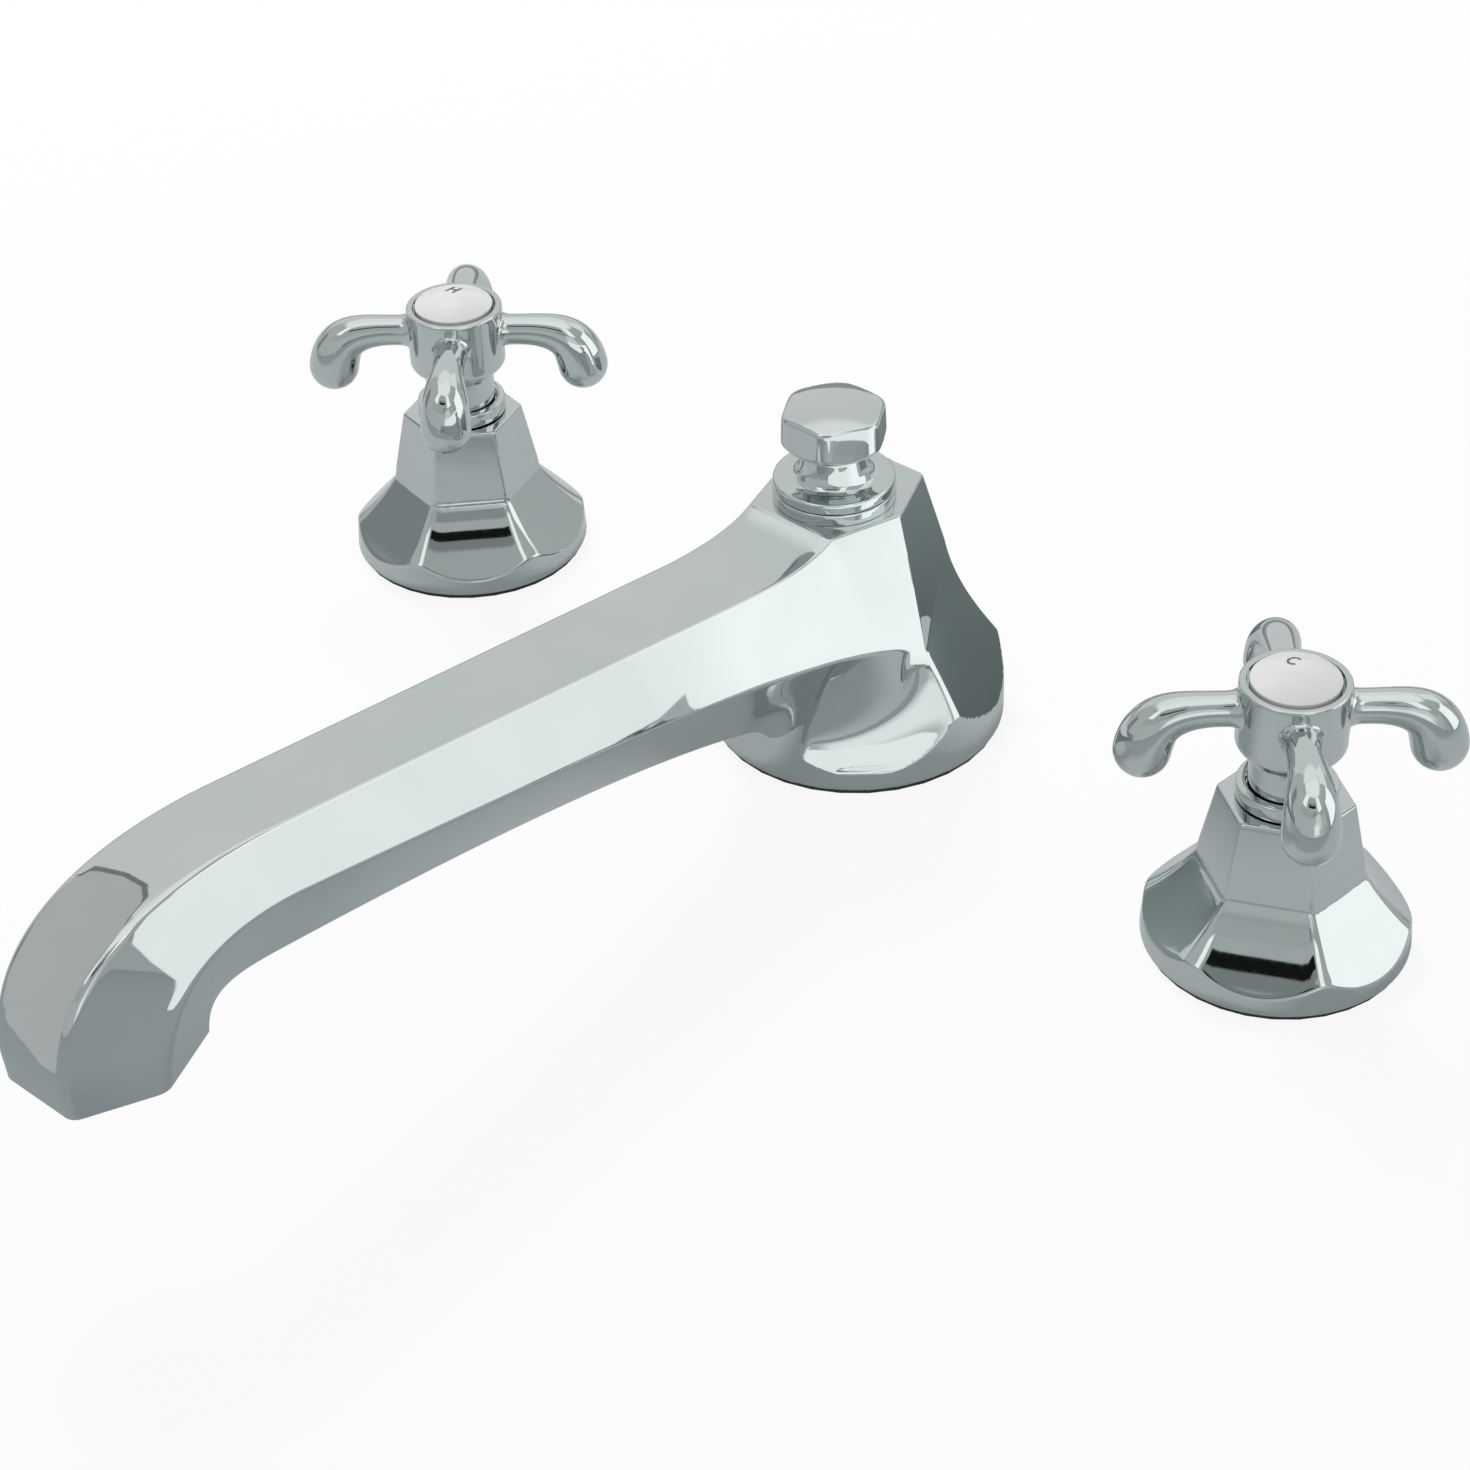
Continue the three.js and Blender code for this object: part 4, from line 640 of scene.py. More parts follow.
def spout_columns():
    """Every column as (crown point, flank point, samples below). Points are (half width, forward, z)."""
    def p(half, forward, z):
        return np.array([half, forward, z], float)

    side_top = p(SIDE_LINE["top"], AXIS, SPOUT_TOP)
    crease = p(SIDE_LINE["crease"][0], AXIS, SIDE_LINE["crease"][1])
    bend = p(SIDE_LINE["bend"][0], AXIS, SIDE_LINE["bend"][1])
    foot = p(SIDE_LINE["foot"][0], AXIS, SIDE_LINE["foot"][1])
    front_top = p(12, 22.3, SPOUT_TOP)
    dip = [front_top, p(12, 30, 59), CROWN_JOIN]
    flank = [crease, p(21.5, 14, 35.2), p(17.6, 33, 37.3), FLANK_JOIN]
    keel = [p(9, 30, 18), KEEL_JOIN]
    rim = [foot, p(38, 19, -0.4), p(31, 32, -0.4), p(13, 38, 4.5)]
    upper = [crease + (bend - crease) * 2 / 3, p(21, 17, 21), p(13, 27.5, 26)]
    lower = [foot + (bend - foot) * 2 / 3, p(20, 18, 3), p(8, 28, 9)]

    def root(w):
        """Crown, flank and keel points at shares w of the way round the root of the arm."""
        w = np.atleast_1d(w)
        crown = np.where((w <= 0.25)[:, None], side_top + (front_top - side_top) * (w / 0.25)[:, None],
                         bez(dip, np.clip((w - 0.25) / 0.75, 0, 1)))
        return crown, bez(flank, w), bez(keel, np.clip((w - COVE) / (1 - COVE), 0, 1))

    def cove(share, flank_point):
        """A column that sweeps from the flank down to the rim."""
        s = [share]
        curve = [flank_point, bez(upper, s)[0], bez(lower, s)[0], bez(rim, s)[0]]
        return lower_line(curve, 1 + (BEYOND - 1) * min(1, max(0, (0.5 - share) / 0.35)))

    ws = np.unique(np.concatenate([np.linspace(0.05, 0.25, 14), np.linspace(0.25, COVE, 34),
                                   np.linspace(COVE, 1, 34)]))
    crown, side, low = root(ws)
    end_side, end_keel = (a[0] for a in root(COVE)[1:])
    facet = end_side + (end_keel - end_side) * V[:, None]
    bulge = cove(1.0, end_side) - facet
    columns = []
    for i, w in enumerate(ws):
        if w <= COVE + 1e-9:
            line = cove(w / COVE, side[i])
        else:
            left = max(0.0, (1 - w) / (1 - COVE)) ** 3
            line = side[i] + (low[i] - side[i]) * V[:, None] + bulge * left
        columns.append((crown[i], side[i], line))

    dense = np.linspace(0, 1, 400)
    nose_top = [CROWN_END, p(10, 214.3, 82), p(10, FRONT, 73.1), p(10, FRONT + 0.6, 48)]
    nose_curve = np.concatenate([bez(nose_top, dense), p(10, FRONT, OUTLET_Z)[None]])
    runs = [
        (ARM_STEPS, np.array([CROWN_JOIN, CROWN_END]),
         bez([FLANK_JOIN, p(17.5, 84, 50.6), FLANK_END], dense),
         bez([KEEL_JOIN, p(10, 96, 39.4), KEEL_END], dense)),
        (NOSE_STEPS, nose_curve,
         bez([FLANK_END, p(17.5, 203, 69.7), p(17.5, 218, 64), p(17.5, MIDDLE, OUTLET_Z)], dense),
         bez([KEEL_END, p(10, 195.7, 50), p(10, 202.8, 50.3), p(10, REAR, OUTLET_Z)], dense)),
    ]
    for steps, top, wide, under in runs:
        shares = np.linspace(0, 1, steps + 1)[1:]
        a, b, c = (by_length(line, shares) for line in (top, wide, under))
        for i in range(steps):
            columns.append((a[i], b[i], b[i] + (c[i] - b[i]) * V[:, None]))
    return columns


def spout_net():
    """The whole outer skin as rings of points, from the back of the bell to the outlet."""
    def pack(crown, flank, low, eased):
        return np.concatenate([crown[None], flank[None], eased[None], low])

    side = corner_line(SIDE_LINE, 1, 0)
    rear = corner_line(REAR_LINE, 0.5, COS30)
    side, rear = (pack(*line, line[0]) for line in (side, rear))
    arm = spout_columns()
    crowns = np.array([side[0]] + [column[0] for column in arm])
    before = crowns[:1] - (crowns[1] - crowns[0]) * np.arange(CROWN_EASE, 0, -1)[:, None]
    padded = np.concatenate([before, crowns, np.repeat(crowns[-1:], CROWN_EASE, 0)])
    weights = np.exp(-np.linspace(-2, 2, 2 * CROWN_EASE + 1) ** 2)
    weights /= weights.sum()
    eased = np.stack([np.convolve(padded[:, k], weights, "valid") for k in range(3)], 1)[1:]
    fade = np.clip((len(arm) - EASE_ENDS - np.arange(len(arm))) / EASE_FADE, 0, 1)[:, None]
    eased = crowns[1:] + (eased - crowns[1:]) * fade
    arm = [pack(*column, eased[i]) for i, column in enumerate(arm)]
    back = rear * np.array([0, 1, 1])
    start, growth = RIB_SOFT
    soft = np.concatenate([[start] * 3, start + growth * np.clip(V * 1.6, 0, 1)])[:, None]

    # Half of the bell, from the back round to the side, and then the arm
    net = []
    for share in np.linspace(0, 1, 10)[:-1]:
        net.append(back + (rear - unit(rear - back) * soft - back) * share)
    net += list(arc(back, rear, side, soft))
    a = rear + unit(side - rear) * soft
    b = side + unit(rear - side) * soft
    for share in np.linspace(0, 1, 40)[1:-1]:
        net.append(a + (b - a) * share)
    net += list(arc(rear, side, arm[0], soft))
    bell_columns = len(net)
    net += arm

    # Each column gets soft corners and becomes one closed ring, mirrored to the other half
    rings = []
    for c, column in enumerate(net):
        crown, flank, soft_crown = column[:3]
        low = column[3:]
        along = min(1.0, c / bell_columns)
        back_y = net[0][0][1]
        middle_y = crown[1] if c >= bell_columns else back_y + (net[bell_columns][0][1] - back_y) * along
        top_middle = np.array([0, middle_y, crown[2]])
        last = low[-1]
        foot_y = net[0][-1][1]
        bottom_y = last[1] if c >= bell_columns else foot_y + (net[bell_columns][-1][1] - foot_y) * along
        bottom_middle = np.array([0, bottom_y, last[2]])
        tip = min(1, max(0, (c - len(net) + NOSE_COLUMNS) / NOSE_COLUMNS))
        reach = EDGE + NOSE_EDGE * tip * tip * (3 - 2 * tip)
        inward = top_middle - crown
        half_top = np.linalg.norm(inward)
        toward_middle = unit(inward) if half_top > 1e-6 else np.zeros(3)
        head = arc(crown + toward_middle, crown, flank, min(reach, 0.4 * half_top), 7)
        crease = arc(crown, flank, low[4], reach, 7)
        distance = np.linalg.norm(low - flank, axis=1)
        rest = low[distance > reach * 1.15]
        rest = np.concatenate([crease[-1:], rest])
        keel_reach = EDGE if c >= bell_columns else 0.3
        from_end = np.linalg.norm(rest - last, axis=1)
        rest = rest[from_end > keel_reach * 1.1]
        keel_reach = min(keel_reach, 0.4 * np.linalg.norm(bottom_middle - last) + 1e-6)
        keel = arc(rest[-1], last, bottom_middle, keel_reach, 7)
        rest = by_length(np.concatenate([rest, keel[:1]]), np.linspace(0, 1, 66))
        upper = np.linspace(0, 1, 14)[1:-1, None]
        facet = head[-1] + (crease[0] - head[-1]) * upper
        facet = facet + (soft_crown - crown) * (1 - upper) * (1 - (1 - upper) ** 3)
        lid = np.linspace(0, 1, 7)[:-1, None]
        top = top_middle + (head[0] - top_middle) * lid
        base = keel[-1] + (bottom_middle - keel[-1]) * np.linspace(0, 1, 6)[1:, None]
        half = np.concatenate([top, head, facet, crease, rest[1:-1], keel, base])
        other = half[1:-1][::-1] * np.array([-1, 1, 1])
        rings.append(np.concatenate([half, other]) * np.array([1, -1, 1]))
    return np.array(rings)


FOOT_CUT = -14  # the foot's ring is kept only ahead of this line
CUT_SIZE = 80


def foot_ring():
    """The round foot under the front of the spout, with its hollow."""
    hollow = bez([(SPOUT_RIM, 6.5), (27, 8.5), (24, 20)], np.linspace(0, 1, 40))
    outline = np.concatenate([[(0, BOTTOM), (SPOUT_RIM - 0.3, BOTTOM), (SPOUT_RIM, BOTTOM + 0.3),
                               (SPOUT_RIM, 6.0), (SPOUT_RIM - 0.15, 6.35), (SPOUT_RIM - 0.5, 6.55)],
                              hollow[2:], [(0, 20)]])
    ring = lathe("ring", filled(outline, 0.7), 360)
    corners = [(x, y, z) for x in (-CUT_SIZE, CUT_SIZE) for y in (FOOT_CUT - CUT_SIZE, FOOT_CUT)
               for z in (-5, 40)]
    faces = [(0, 1, 3, 2), (4, 6, 7, 5), (0, 4, 5, 1), (2, 3, 7, 6), (0, 2, 6, 4), (1, 5, 7, 3)]
    front = mesh_piece("front", corners, faces)
    return boolean(ring, front, "INTERSECT")


CHANNEL_SHARE = 0.78  # the most of the arm's section that the waterway takes
CHANNEL_HALF = 11.5
CHANNEL_ROOT = (6, 46.5)  # forward and height of the middle of its inner end


def channel():
    """The waterway follows the arm's own section, drawn in towards its middle."""
    sections = []
    for crown, flank, low in spout_columns()[-(ARM_STEPS + NOSE_STEPS):]:
        keel = low[-1]
        middle = (crown + keel) / 2 * np.array([0, 1, 1])
        half = np.linalg.norm((crown - middle) * np.array([0, 1, 1]))
        share = min(CHANNEL_SHARE, CHANNEL_HALF / half)
        sections.append([np.array([q[0] * CHANNEL_SHARE, *(middle[1:] + (q[1:] - middle[1:]) * share)])
                         for q in (crown, flank, keel)])
    first = sections[0]
    forward, height = CHANNEL_ROOT
    root = [np.array([q[0], forward, height + np.sign(q[2] - first[1][2]) * CHANNEL_HALF]) for q in first]
    mouth = [np.array([q[0], q[1], OUTLET_Z - 4]) for q in sections[-1]]
    net = []
    for section in [root, *sections, mouth]:
        ring = section + [q * np.array([-1, 1, 1]) for q in section[::-1]]
        net.append(rounded(np.array(ring), 1.2, True, 5) * np.array([1, -1, 1]))
    return grid("channel", np.array(net), True, False, True)


# Bores of the spout: radius, lower end, upper end and place along Y
SPOUT_BORES = {"bore": (13.3, -2, 11.3, 0), "chamber": (11.2, 10.3, 27, KNOB_Y),
               "seat": (6.6, 26, 46.5, KNOB_Y), "gland": (6.3, 46.5, 64, KNOB_Y)}
SKIRT_TOP = 19
SKIRT_RADIUS = 70


def spout_body():
    """The skin is closed, trimmed by a round skirt, joined to its foot and bored."""
    body = grid("spout_casting", spout_net(), True, False, False, 1e-3)
    bm = bmesh.new()
    bm.from_mesh(body.data)
    bmesh.ops.holes_fill(bm, edges=[e for e in bm.edges if e.is_boundary], sides=0)
    bmesh.ops.recalc_face_normals(bm, faces=bm.faces)
    bm.to_mesh(body.data)
    bm.free()
    wall = [(SPOUT_RIM, z) for z in np.arange(SKIRT_TOP, -2, -0.6)]
    skirt = lathe("skirt", [(SPOUT_RIM, -2), (SKIRT_RADIUS, -2), (SKIRT_RADIUS, SKIRT_TOP), *wall], 360)
    for vert in skirt.data.vertices:
        radius = math.hypot(vert.co.x, vert.co.y)
        if radius < SPOUT_RIM + 1:
            vert.co.xy *= 1 - BACK_EASE * max(0, vert.co.y / radius) ** 6
    boolean(body, skirt, "DIFFERENCE")
    boolean(body, foot_ring(), "UNION")
    soften(body, 1.0, 5, 17, lambda p: p.z < 24 and math.hypot(p.x, p.y) < 36)
    for name, (radius, low, high, y) in SPOUT_BORES.items():
        boolean(body, rod(name, radius, low, high, (0, y)), "DIFFERENCE")
    boolean(body, channel(), "DIFFERENCE")
    done(body, "root", "chrome", CHROME, "spout_body", crease=58)


COLLAR_FOOT = SPOUT_TOP + 0.02
COLLAR_TAIL = (6, COLLAR_FOOT - 5)  # radius and lower end of the part sunk in the spout
COLLAR_BORE = 2.9
COLLAR_POCKET = (4.2, 72)
WAIST = [(10.3, 68.3), (8.2, 68.7), (7.4, 70.4), (7.1, 73.6)]


def collar():
    """Two stacked rings and a trumpet-shaped waist under the knob."""
    tail, tail_z = COLLAR_TAIL
    pocket, pocket_z = COLLAR_POCKET
    rings = rounded([(COLLAR_BORE, tail_z), (tail, tail_z), (tail, COLLAR_FOOT), (13.9, COLLAR_FOOT),
                     (13.9, 65.7), (13.0, 65.75), (13.0, 65.85), (13.75, 65.9), (13.75, 68.3), WAIST[0]],
                    [0.1, 0.1, 0.1, 0.25, 0.75, 0.02, 0.02, 0.3, 0.75, 0])
    waist = bez(WAIST, np.linspace(0, 1, 30))
    head = rounded([WAIST[-1], (7.0, 74.6), (pocket, 74.6), (pocket, pocket_z), (COLLAR_BORE, pocket_z)],
                   [0, 0.4, 0.2, 0.1, 0])
    outline = np.concatenate([rings, waist[1:], head[1:]])
    piece = lathe("waisted_collar", filled(outline, 0.6, True), 160, (0, KNOB_Y))
    done(piece, "root", "chrome", CHROME, "lift_collar")


KNOB_CORNER = 12.9
KNOB_TAPER = 0.975  # width of the top compared with the foot of the sides
KNOB_FOOT = 75.2
KNOB_SIDES = (77.3, 84.7)
KNOB_DOME = 2.2
KNOB_EDGE = 2.6
DOME_START = 0.78  # share of the radius where the soft upper edge ends


def knob():
    """Six flat sides that widen a little downwards, a cone below and a low dome above."""
    side_low, side_high = KNOB_SIDES

    def dome(r):
        return r, side_high + KNOB_DOME * (1 - (r / KNOB_CORNER) ** 2)

    turns = [k * math.pi / 3 for k in range(6)]
    corners = [np.array([[math.cos(a), math.sin(a)]]) * KNOB_CORNER for a in turns]
    columns = []
    for point in facet_columns(corners, KNOB_EDGE, 10, 13):
        way = unit(point[0])
        out_low = np.linalg.norm(point[0])
        out_high = out_low * KNOB_TAPER
        cone_z = side_low - 0.3 + (out_low - KNOB_CORNER * COS30) * 0.9
        edge_z = dome(out_high)[1]
        profile = rounded([(3.0, KNOB_FOOT), (7.6, KNOB_FOOT), (out_low - 0.02, cone_z),
                           (out_high, edge_z - 0.02), dome(out_high * DOME_START)],
                          [0, 0.3, 1.0, 2.0, 0], count=13)
        crown = [dome(out_high * s) for s in np.linspace(DOME_START, 0, 18)]
        profile = np.concatenate([profile[:-1], crown])
        columns.append(np.c_[profile[:, :1] * way, profile[:, 1]])
    net = np.array(columns)
    net[..., 1] += KNOB_Y
    middle = np.broadcast_to(np.array([0, KNOB_Y, KNOB_FOOT]), (len(columns), 1, 3))
    body = grid("lift_knob_cap", np.concatenate([middle, net], 1), False, True, False, 1e-3)
    boolean(body, rod("socket", 2.7, 74, 81.3, (0, KNOB_Y), 48), "DIFFERENCE")
    done(body, "lift", "chrome", CHROME, "lift_knob")


# Make the pieces

for prefix in ("hot", "cold"):
    bell(prefix)
    dress_ring(prefix)
    handle(prefix)
    button(prefix)
    letter(prefix)
spout_body()
collar()
knob()

# The CAD's own nodes that stay in view get the finish that their slot names
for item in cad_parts.values():
    if not item.hide_render:
        for slot in item.material_slots:
            slot.material = SLOTS[slot.material.name.split(".")[0]]


# Studio: camera, floor, world, cards and lamps. Lengths are in metres from here

AIM = Vector((-0.01454, -0.02683, 0))
AZIMUTH = math.radians(43.02)
ELEVATION = math.radians(36.35)
ROLL = math.radians(-1.88)
DISTANCE = 0.7991
FOCAL_PIXELS = 3416.58
FRAME_PIXELS = 1470
SENSOR_WIDTH = 36


def photo_camera():
    """The camera that was fitted to the photo."""
    back = Vector((math.sin(AZIMUTH) * math.cos(ELEVATION), -math.cos(AZIMUTH) * math.cos(ELEVATION),
                   math.sin(ELEVATION)))
    right = Vector((math.cos(AZIMUTH), math.sin(AZIMUTH), 0))
    up = Vector((-math.sin(AZIMUTH) * math.sin(ELEVATION), math.cos(AZIMUTH) * math.sin(ELEVATION),
                 math.cos(ELEVATION)))
    rolled_right = right * math.cos(ROLL) + up * math.sin(ROLL)
    rolled_up = up * math.cos(ROLL) - right * math.sin(ROLL)
    lens = bpy.data.cameras.new("camera")
    lens.sensor_width = SENSOR_WIDTH
    lens.lens = FOCAL_PIXELS / FRAME_PIXELS * SENSOR_WIDTH
    lens.clip_start = 0.01
    lens.clip_end = 50
    camera = bpy.data.objects.new("camera", lens)
    bpy.context.scene.collection.objects.link(camera)
    turned = Matrix((rolled_right, rolled_up, back)).transposed().to_4x4()
    camera.matrix_world = Matrix.Translation(AIM + back * DISTANCE) @ turned
    bpy.context.scene.camera = camera


def mixed(tree, factor, first, second):
    """Mix two shaders."""
    mix = node(tree, "ShaderNodeMixShader")
    join(tree, factor, mix, 0)
    join(tree, first.outputs[0], mix, 1)
    join(tree, second.outputs[0], mix, 2)
    return mix


def to_output(tree, surface, kind="ShaderNodeOutputMaterial"):
    join(tree, surface.outputs[0], node(tree, kind), "Surface")


def position(tree, kind="Object"):
    """The X, Y and Z of a texture coordinate."""
    split = node(tree, "ShaderNodeSeparateXYZ")
    join(tree, node(tree, "ShaderNodeTexCoord").outputs[kind], split, 0)
    return split.outputs


def direction(azimuth, elevation):
    a = math.radians(azimuth)
    e = math.radians(elevation)
    return Vector((math.cos(a) * math.cos(e), math.sin(a) * math.cos(e), math.sin(e)))


def maths(tree, operation, *values):
    made = node(tree, "ShaderNodeMath")
    made.operation = operation
    for i, value in enumerate(values):
        if hasattr(value, "links"):
            join(tree, value, made, i)
        else:
            made.inputs[i].default_value = value
    return made.outputs[0]


def seen_by(tree, *kinds):
    """1 for the named kinds of ray."""
    path = node(tree, "ShaderNodeLightPath")
    total = path.outputs[kinds[0]]
    for kind in kinds[1:]:
        total = maths(tree, "MAXIMUM", total, path.outputs[kind])
    return total


# What reflections see of the room, as soft panels: azimuth from +X towards +Y, elevation, half width,
# half height and blur in degrees, and level. A later panel lies over an earlier one.
ROOM = [
    (0, 90, 181, 28, 8, 1.15),
    (-100, 45, 60, 14, 5, 0.52),
    (-46, 10, 50, 18, 5, 0.60),
    (-30, 22, 12, 12, 6, 0.84),
    (-140, 10, 45, 18, 6, 0.58),
    (-155, 14, 8.5, 14, 5, 0.31),
    (125, 33, 54, 23, 3, 0.80),
    (145, 66, 56, 14, 10, 1.06),
    (-148, 41, 33, 14, 5, 0.59),
    (75, 45, 18, 15, 4, 1.05),
    (68, 12, 11, 17, 4, 0.555),
    (38, 14, 19, 24, 3, 1.42),
    (-37, 10, 9, 8, 8, 1.15),
    (0, 3, 9, 8, 6, 0.50),
    (-102, 52, 11, 11, 3, 1.30),
    (-17, 50, 11, 12, 3, 1.30),
    (-58, 60, 24, 6, 3, 0.52),
    (-58, 51.5, 22, 2.6, 1.6, 0.29),
    (-58, 47.9, 20, 2.3, 0.6, 0.01),
    (-58, 42.8, 20, 2.6, 1.5, 0.56),
    (-45, 36, 8, 4, 2, 0.37),
]
BARE_ROOM = (0.25, 0.36)  # where no panel is: the rise of the level with height, and its middle
ROOM_TINTS = ((0.90, 1, 1), (0.985, 1, 1), 0.25, 0.8)  # dark and pale panels, and the levels between
PLAIN_LIGHT = (0.43, 0.44, 0.45, 1)
WHITE = (1, 1, 1, 1)


def smooth_step(tree, value, outer, inner):
    """0 at the outer value, 1 at the inner one, with a soft change between them."""
    made = node(tree, "ShaderNodeMapRange", From_Min=outer, From_Max=inner)
    made.interpolation_type = "SMOOTHSTEP"
    join(tree, value, made, "Value")
    return made.outputs["Result"]


def mask_of(tree, away, half, blur):
    """1 where an angle is less than half, and 0 beyond it."""
    return smooth_step(tree, maths(tree, "ABSOLUTE", away), math.radians(half + blur / 2),
                       math.radians(half - blur / 2))


def sky():
    """White for the camera, plain grey for diffuse light, and the room of soft panels in reflections."""
    world = bpy.data.worlds.new("studio")
    world.use_nodes = True
    tree = world.node_tree
    tree.nodes.clear()
    way = position(tree, "Generated")
    turn = maths(tree, "ARCTAN2", way["Y"], way["X"])
    rise = maths(tree, "ARCSINE", way["Z"])
    level = maths(tree, "MULTIPLY_ADD", way["Z"], *BARE_ROOM)
    for azimuth, elevation, half_width, half_height, blur, value in ROOM:
        across = maths(tree, "SUBTRACT", turn, math.radians(azimuth))
        across = maths(tree, "WRAP", across, math.pi, -math.pi)
        above = maths(tree, "SUBTRACT", rise, math.radians(elevation))
        mask = maths(tree, "MULTIPLY", mask_of(tree, across, half_width, blur),
                     mask_of(tree, above, half_height, blur))
        level = maths(tree, "MULTIPLY_ADD", mask, maths(tree, "SUBTRACT", value, level), level)
    shown = node(tree, "ShaderNodeBackground")
    join(tree, ramp(tree, level, *ROOM_TINTS), shown, "Color")
    join(tree, level, shown, "Strength")
    plain = node(tree, "ShaderNodeBackground", Color=WHITE)
    light = node(tree, "ShaderNodeBackground", Color=PLAIN_LIGHT)
    mirrored = mixed(tree, seen_by(tree, "Is Glossy Ray"), light, shown)
    seen = seen_by(tree, "Is Camera Ray", "Is Transmission Ray")
    to_output(tree, mixed(tree, seen, mirrored, plain), "ShaderNodeOutputWorld")
    bpy.context.scene.world = world


def flat_item(name, corners, faces, material_name):
    """A sheet of the studio, with a bare material."""
    mesh = bpy.data.meshes.new(name)
    mesh.from_pydata(corners, [], faces)
    item = bpy.data.objects.new(name, mesh)
    bpy.context.scene.collection.objects.link(item)
    material = bpy.data.materials.new(material_name)
    material.use_nodes = True
    material.node_tree.nodes.clear()
    mesh.materials.append(material)
    return item, material.node_tree


FLOOR_HALF = 6.0
FLOOR_LIT = (0.86, 0.86, 0.86, 1)
FLOOR_MIRRORED = (0.325, 0.365, 0.385, 1)
FLOOR_WHITE = 0.9  # share of plain white in what the camera sees
FLOOR_DARK = 0.45  # share of the mirrored colour in what reflections see
FLOOR_PAINTED_SHADOW = 0.37  # and how much more of it under the arm and ahead of the spout: painted shadow
SHADOW_STRIP_X = 0.016  # middle of the strip of painted shadow under the arm
SHADOW_STRIP_EDGES = (0.032, 0.012)
SHADOW_STRIP_ENDS = (-0.05, -0.17)
SHADOW_AHEAD_EDGES = (-0.15, -0.23)
SHADOW_AHEAD_SLANT = -0.35


def floor():
    """A pale floor that keeps the object's shadow. What reflections see of it has painted shadow under the
    arm and ahead of the spout.
    """
    half = FLOOR_HALF
    corners = [(-half, -half, 0), (half, -half, 0), (half, half, 0), (-half, half, 0)]
    item, tree = flat_item("floor", corners, [(0, 1, 2, 3)], "pale_floor")
    lit = node(tree, "ShaderNodeBsdfDiffuse", Color=FLOOR_LIT)
    shown = node(tree, "ShaderNodeEmission")
    pale = node(tree, "ShaderNodeMixRGB")
    pale.inputs[1].default_value = FLOOR_MIRRORED
    pale.inputs[2].default_value = WHITE
    seen = seen_by(tree, "Is Camera Ray", "Is Transmission Ray")
    join(tree, seen, pale, 0)
    join(tree, pale.outputs[0], shown, "Color")
    # Painted shadow, seen only in reflections: a strip under the arm and a region ahead of the spout make
    # the floor darker
    at = position(tree)
    forward = maths(tree, "MULTIPLY_ADD", at["X"], SHADOW_AHEAD_SLANT, at["Y"])
    beside = maths(tree, "ABSOLUTE", maths(tree, "SUBTRACT", at["X"], SHADOW_STRIP_X))
    under = maths(tree, "MULTIPLY", smooth_step(tree, beside, *SHADOW_STRIP_EDGES),
                  smooth_step(tree, at["Y"], *SHADOW_STRIP_ENDS))
    painted_shadow = maths(tree, "MAXIMUM", under, smooth_step(tree, forward, *SHADOW_AHEAD_EDGES))
    shadow_share = maths(tree, "MULTIPLY_ADD", painted_shadow, FLOOR_PAINTED_SHADOW, FLOOR_DARK)
    factor = maths(tree, "MAXIMUM", maths(tree, "MULTIPLY", seen, FLOOR_WHITE),
                   maths(tree, "MULTIPLY", seen_by(tree, "Is Glossy Ray"), shadow_share))
    to_output(tree, mixed(tree, factor, lit, shown))


def card(name, corners, faces, level, tint=0.985, graded=None):
    """A glowing card near the object, which only reflections see, and only from its front: a painted
    reflection, or painted shade where its level is low. Its corners are in millimetres. It can be graded
    along an axis: from low to high there, and its level at the low end."""
    item, tree = flat_item(name, [tuple(MM * v for v in corner) for corner in corners], faces, name)
    glow = node(tree, "ShaderNodeEmission", Color=(tint, 1, 1, 1), Strength=level)
    if graded:
        axis, low, high, low_level = graded
        change = node(tree, "ShaderNodeMapRange", To_Min=low_level, To_Max=level, From_Min=MM * low,
                      From_Max=MM * high)
        join(tree, position(tree)[axis], change, "Value")
        join(tree, change.outputs[0], glow, "Strength")
    backfacing = node(tree, "ShaderNodeNewGeometry").outputs["Backfacing"]
    to_output(tree, mixed(tree, backfacing, glow, node(tree, "ShaderNodeBsdfTransparent")))
    item.visible_camera = False
    item.visible_diffuse = False
    item.visible_shadow = False


def sheet(corners):
    """A flat card's corners and its one face."""
    return corners, [tuple(range(len(corners)))]


# The cards, in millimetres: glowing sheets that paint reflections on the chrome, and a dark card of painted
# shade. The side card is a profile of (y, z), and the dark card one of (x, z)
SIDE_CARD_X = 84
SIDE_CARD = [(-222, 40), (-218.5, 50), (-214.5, 60), (-213.5, 72), (-209, 92), (-203, 125), (45, 125),
             (45, 15), (-10, 15), (-12, 43), (-36, 46), (-60, 43), (-75, 30), (-200, 30)]
# A dark card of painted shade: it stands in for the shaded floor behind the spout, and only reflections see
# it
SHADE_CARD_Y = 75
SHADE_CARD = [(-40, 1), (80, 1), (80, 45), (-40, 45)]
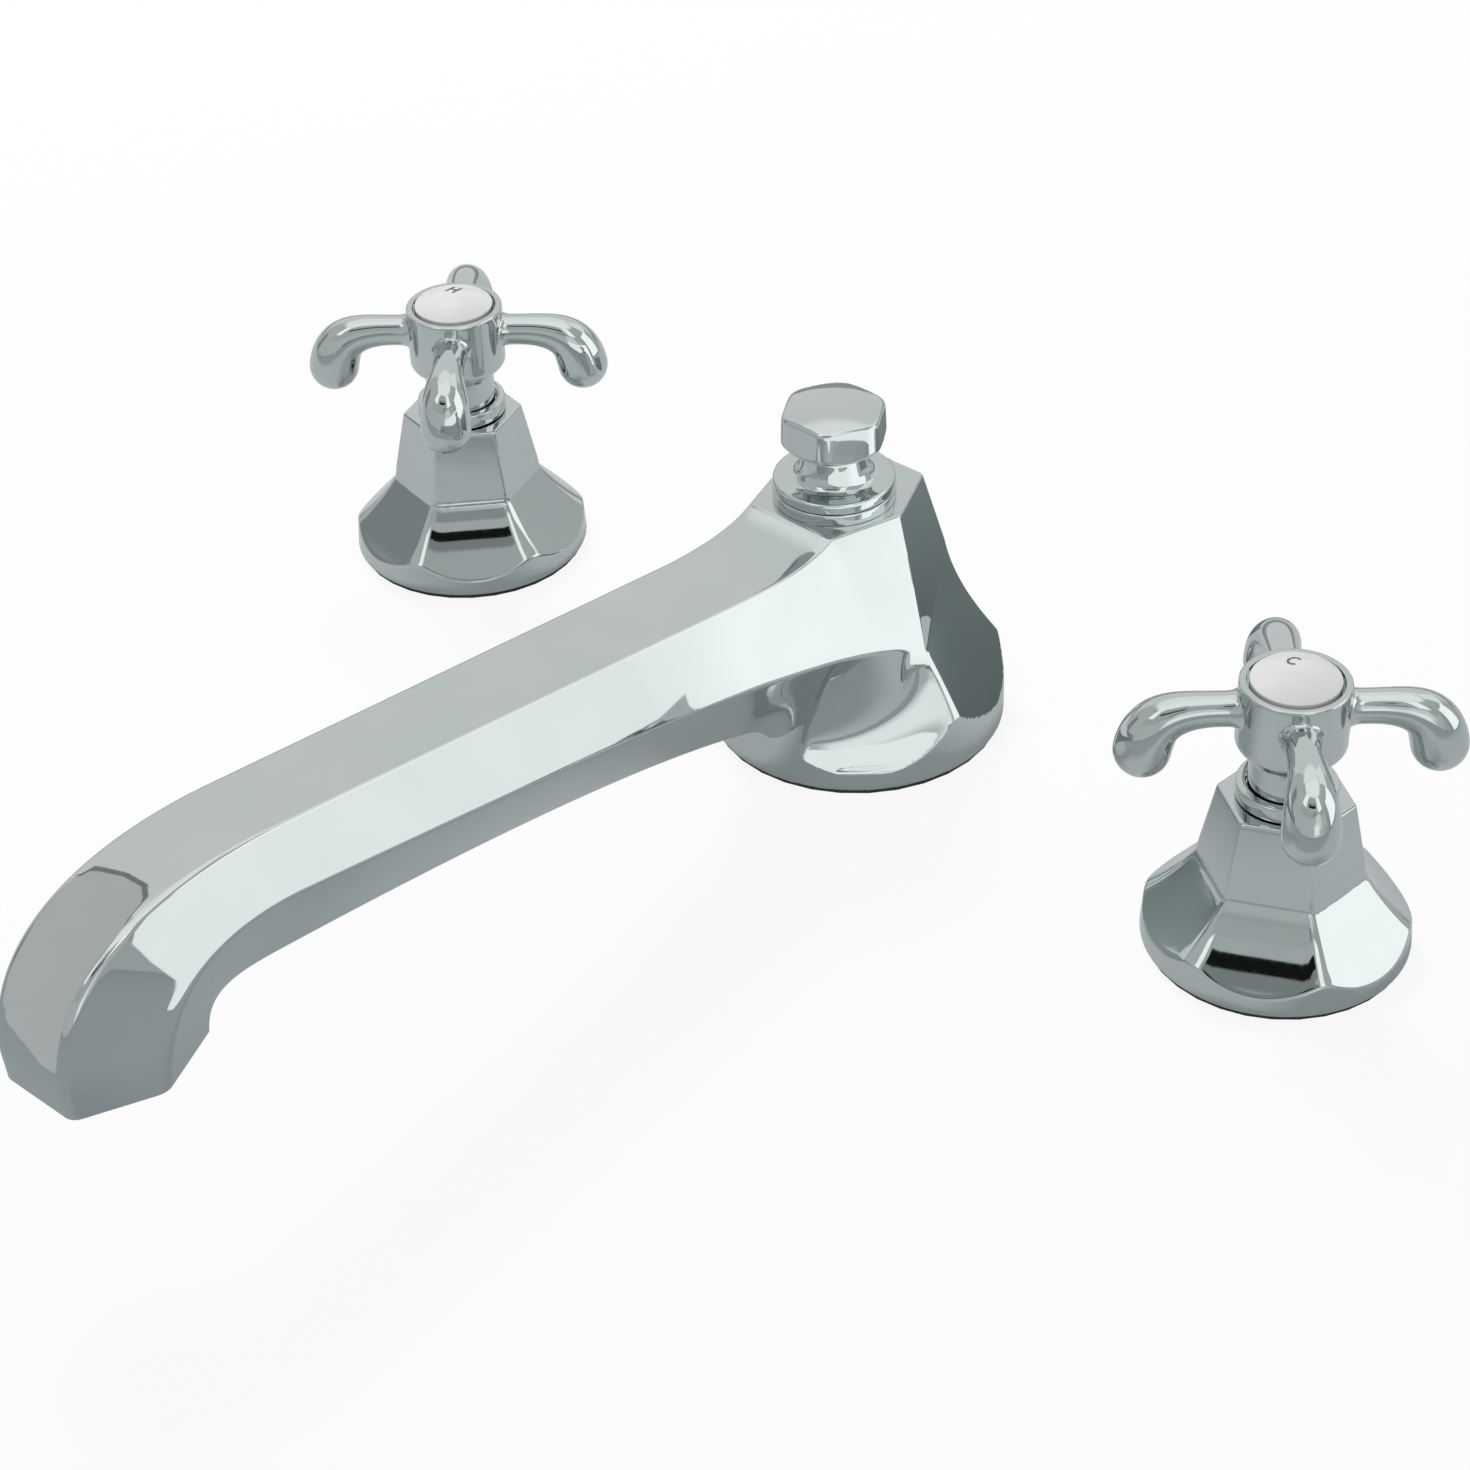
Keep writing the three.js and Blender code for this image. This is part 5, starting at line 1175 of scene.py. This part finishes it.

# Glowing card behind the nose, a painted reflection: azimuth and elevation in degrees of its outline, as
# seen from inside the nose
NOSE_VIEW = Vector((0, -222, 66))
NOSE_CARD_LEFT = [(158.5, 48.3), (158.5, 48.3), (166.5, 47.1), (170, 43), (-172, 38), (-158, 30),
                  (-147, 20), (-140, 5), (-136, -12), (-130.2, -16.9), (-129.4, -23.4), (-126.6, -31.1),
                  (-125.2, -36.9)]
NOSE_CARD_RIGHT = [(150.5, 50.1), (147.1, 52.6), (151.4, 55.4), (160.1, 58.4), (172.7, 60.6), (-175, 63),
                   (-150, 59), (-133, 48), (-118, 30), (-110, 5), (-108, -15), (-112, -30), (-120, -37.5)]
NOSE_CARD_INNER = (178, 56)


def behind_nose(distance, margin):
    """A bowed card round the nose, on a sphere. Its top can stand out by a share of the way from its
    inside."""
    inner = NOSE_VIEW + direction(*NOSE_CARD_INNER) * distance
    corners = []
    for chain, top_count in ((NOSE_CARD_LEFT, 3), (NOSE_CARD_RIGHT, 5)):
        for i, way in enumerate(chain):
            corner = NOSE_VIEW + direction(*way) * distance
            corners.append(corner + (corner - inner) * margin if i < top_count else corner)
    faces = []
    rows = len(NOSE_CARD_LEFT)
    for i in range(rows - 1):
        for face in ((i, rows + i, rows + i + 1), (i, rows + i + 1, i + 1)):
            a, b, c = (corners[k] for k in face)
            across = (b - a).cross(c - a)
            if across.length == 0:
                continue
            faces.append(face if across.dot(NOSE_VIEW - a) > 0 else face[::-1])
    return corners, faces


def lamp(name, azimuth, elevation, distance, size, power):
    """A round lamp that shines on the origin and that no reflection shows."""
    data = bpy.data.lights.new(name, "AREA")
    data.shape = "DISK"
    data.size = size
    data.energy = power
    item = bpy.data.objects.new(name, data)
    way = direction(azimuth, elevation)
    turned = way.to_track_quat("Z", "Y").to_matrix().to_4x4()
    item.matrix_world = Matrix.Translation(way * distance) @ turned
    bpy.context.scene.collection.objects.link(item)
    item.visible_glossy = False
    item.visible_camera = False


photo_camera()
sky()
floor()
# Painted reflections: glowing cards that only reflections see, a bright one beside the arm and two round
# the nose
card("side_card", *sheet([(SIDE_CARD_X, y, z) for y, z in SIDE_CARD]), 1.42, graded=("Y", -25, 10, 1.22))
# Painted shade: a dim card behind the spout, darker towards the floor
card("shade_card", *sheet([(x, SHADE_CARD_Y, z) for x, z in SHADE_CARD]), 0.27, 0.85, ("Z", 0, 34, 0.17))
card("nose_card", *behind_nose(75, 0), 0.61)
card("nose_card_edge", *behind_nose(76, 0.12), 0.26, 0.9)
lamp("key", 150, 48, 2.2, 0.8, 31)
lamp("fill", -60, 50, 2.4, 1.6, 4)

view = bpy.context.scene.view_settings
view.view_transform = "Standard"
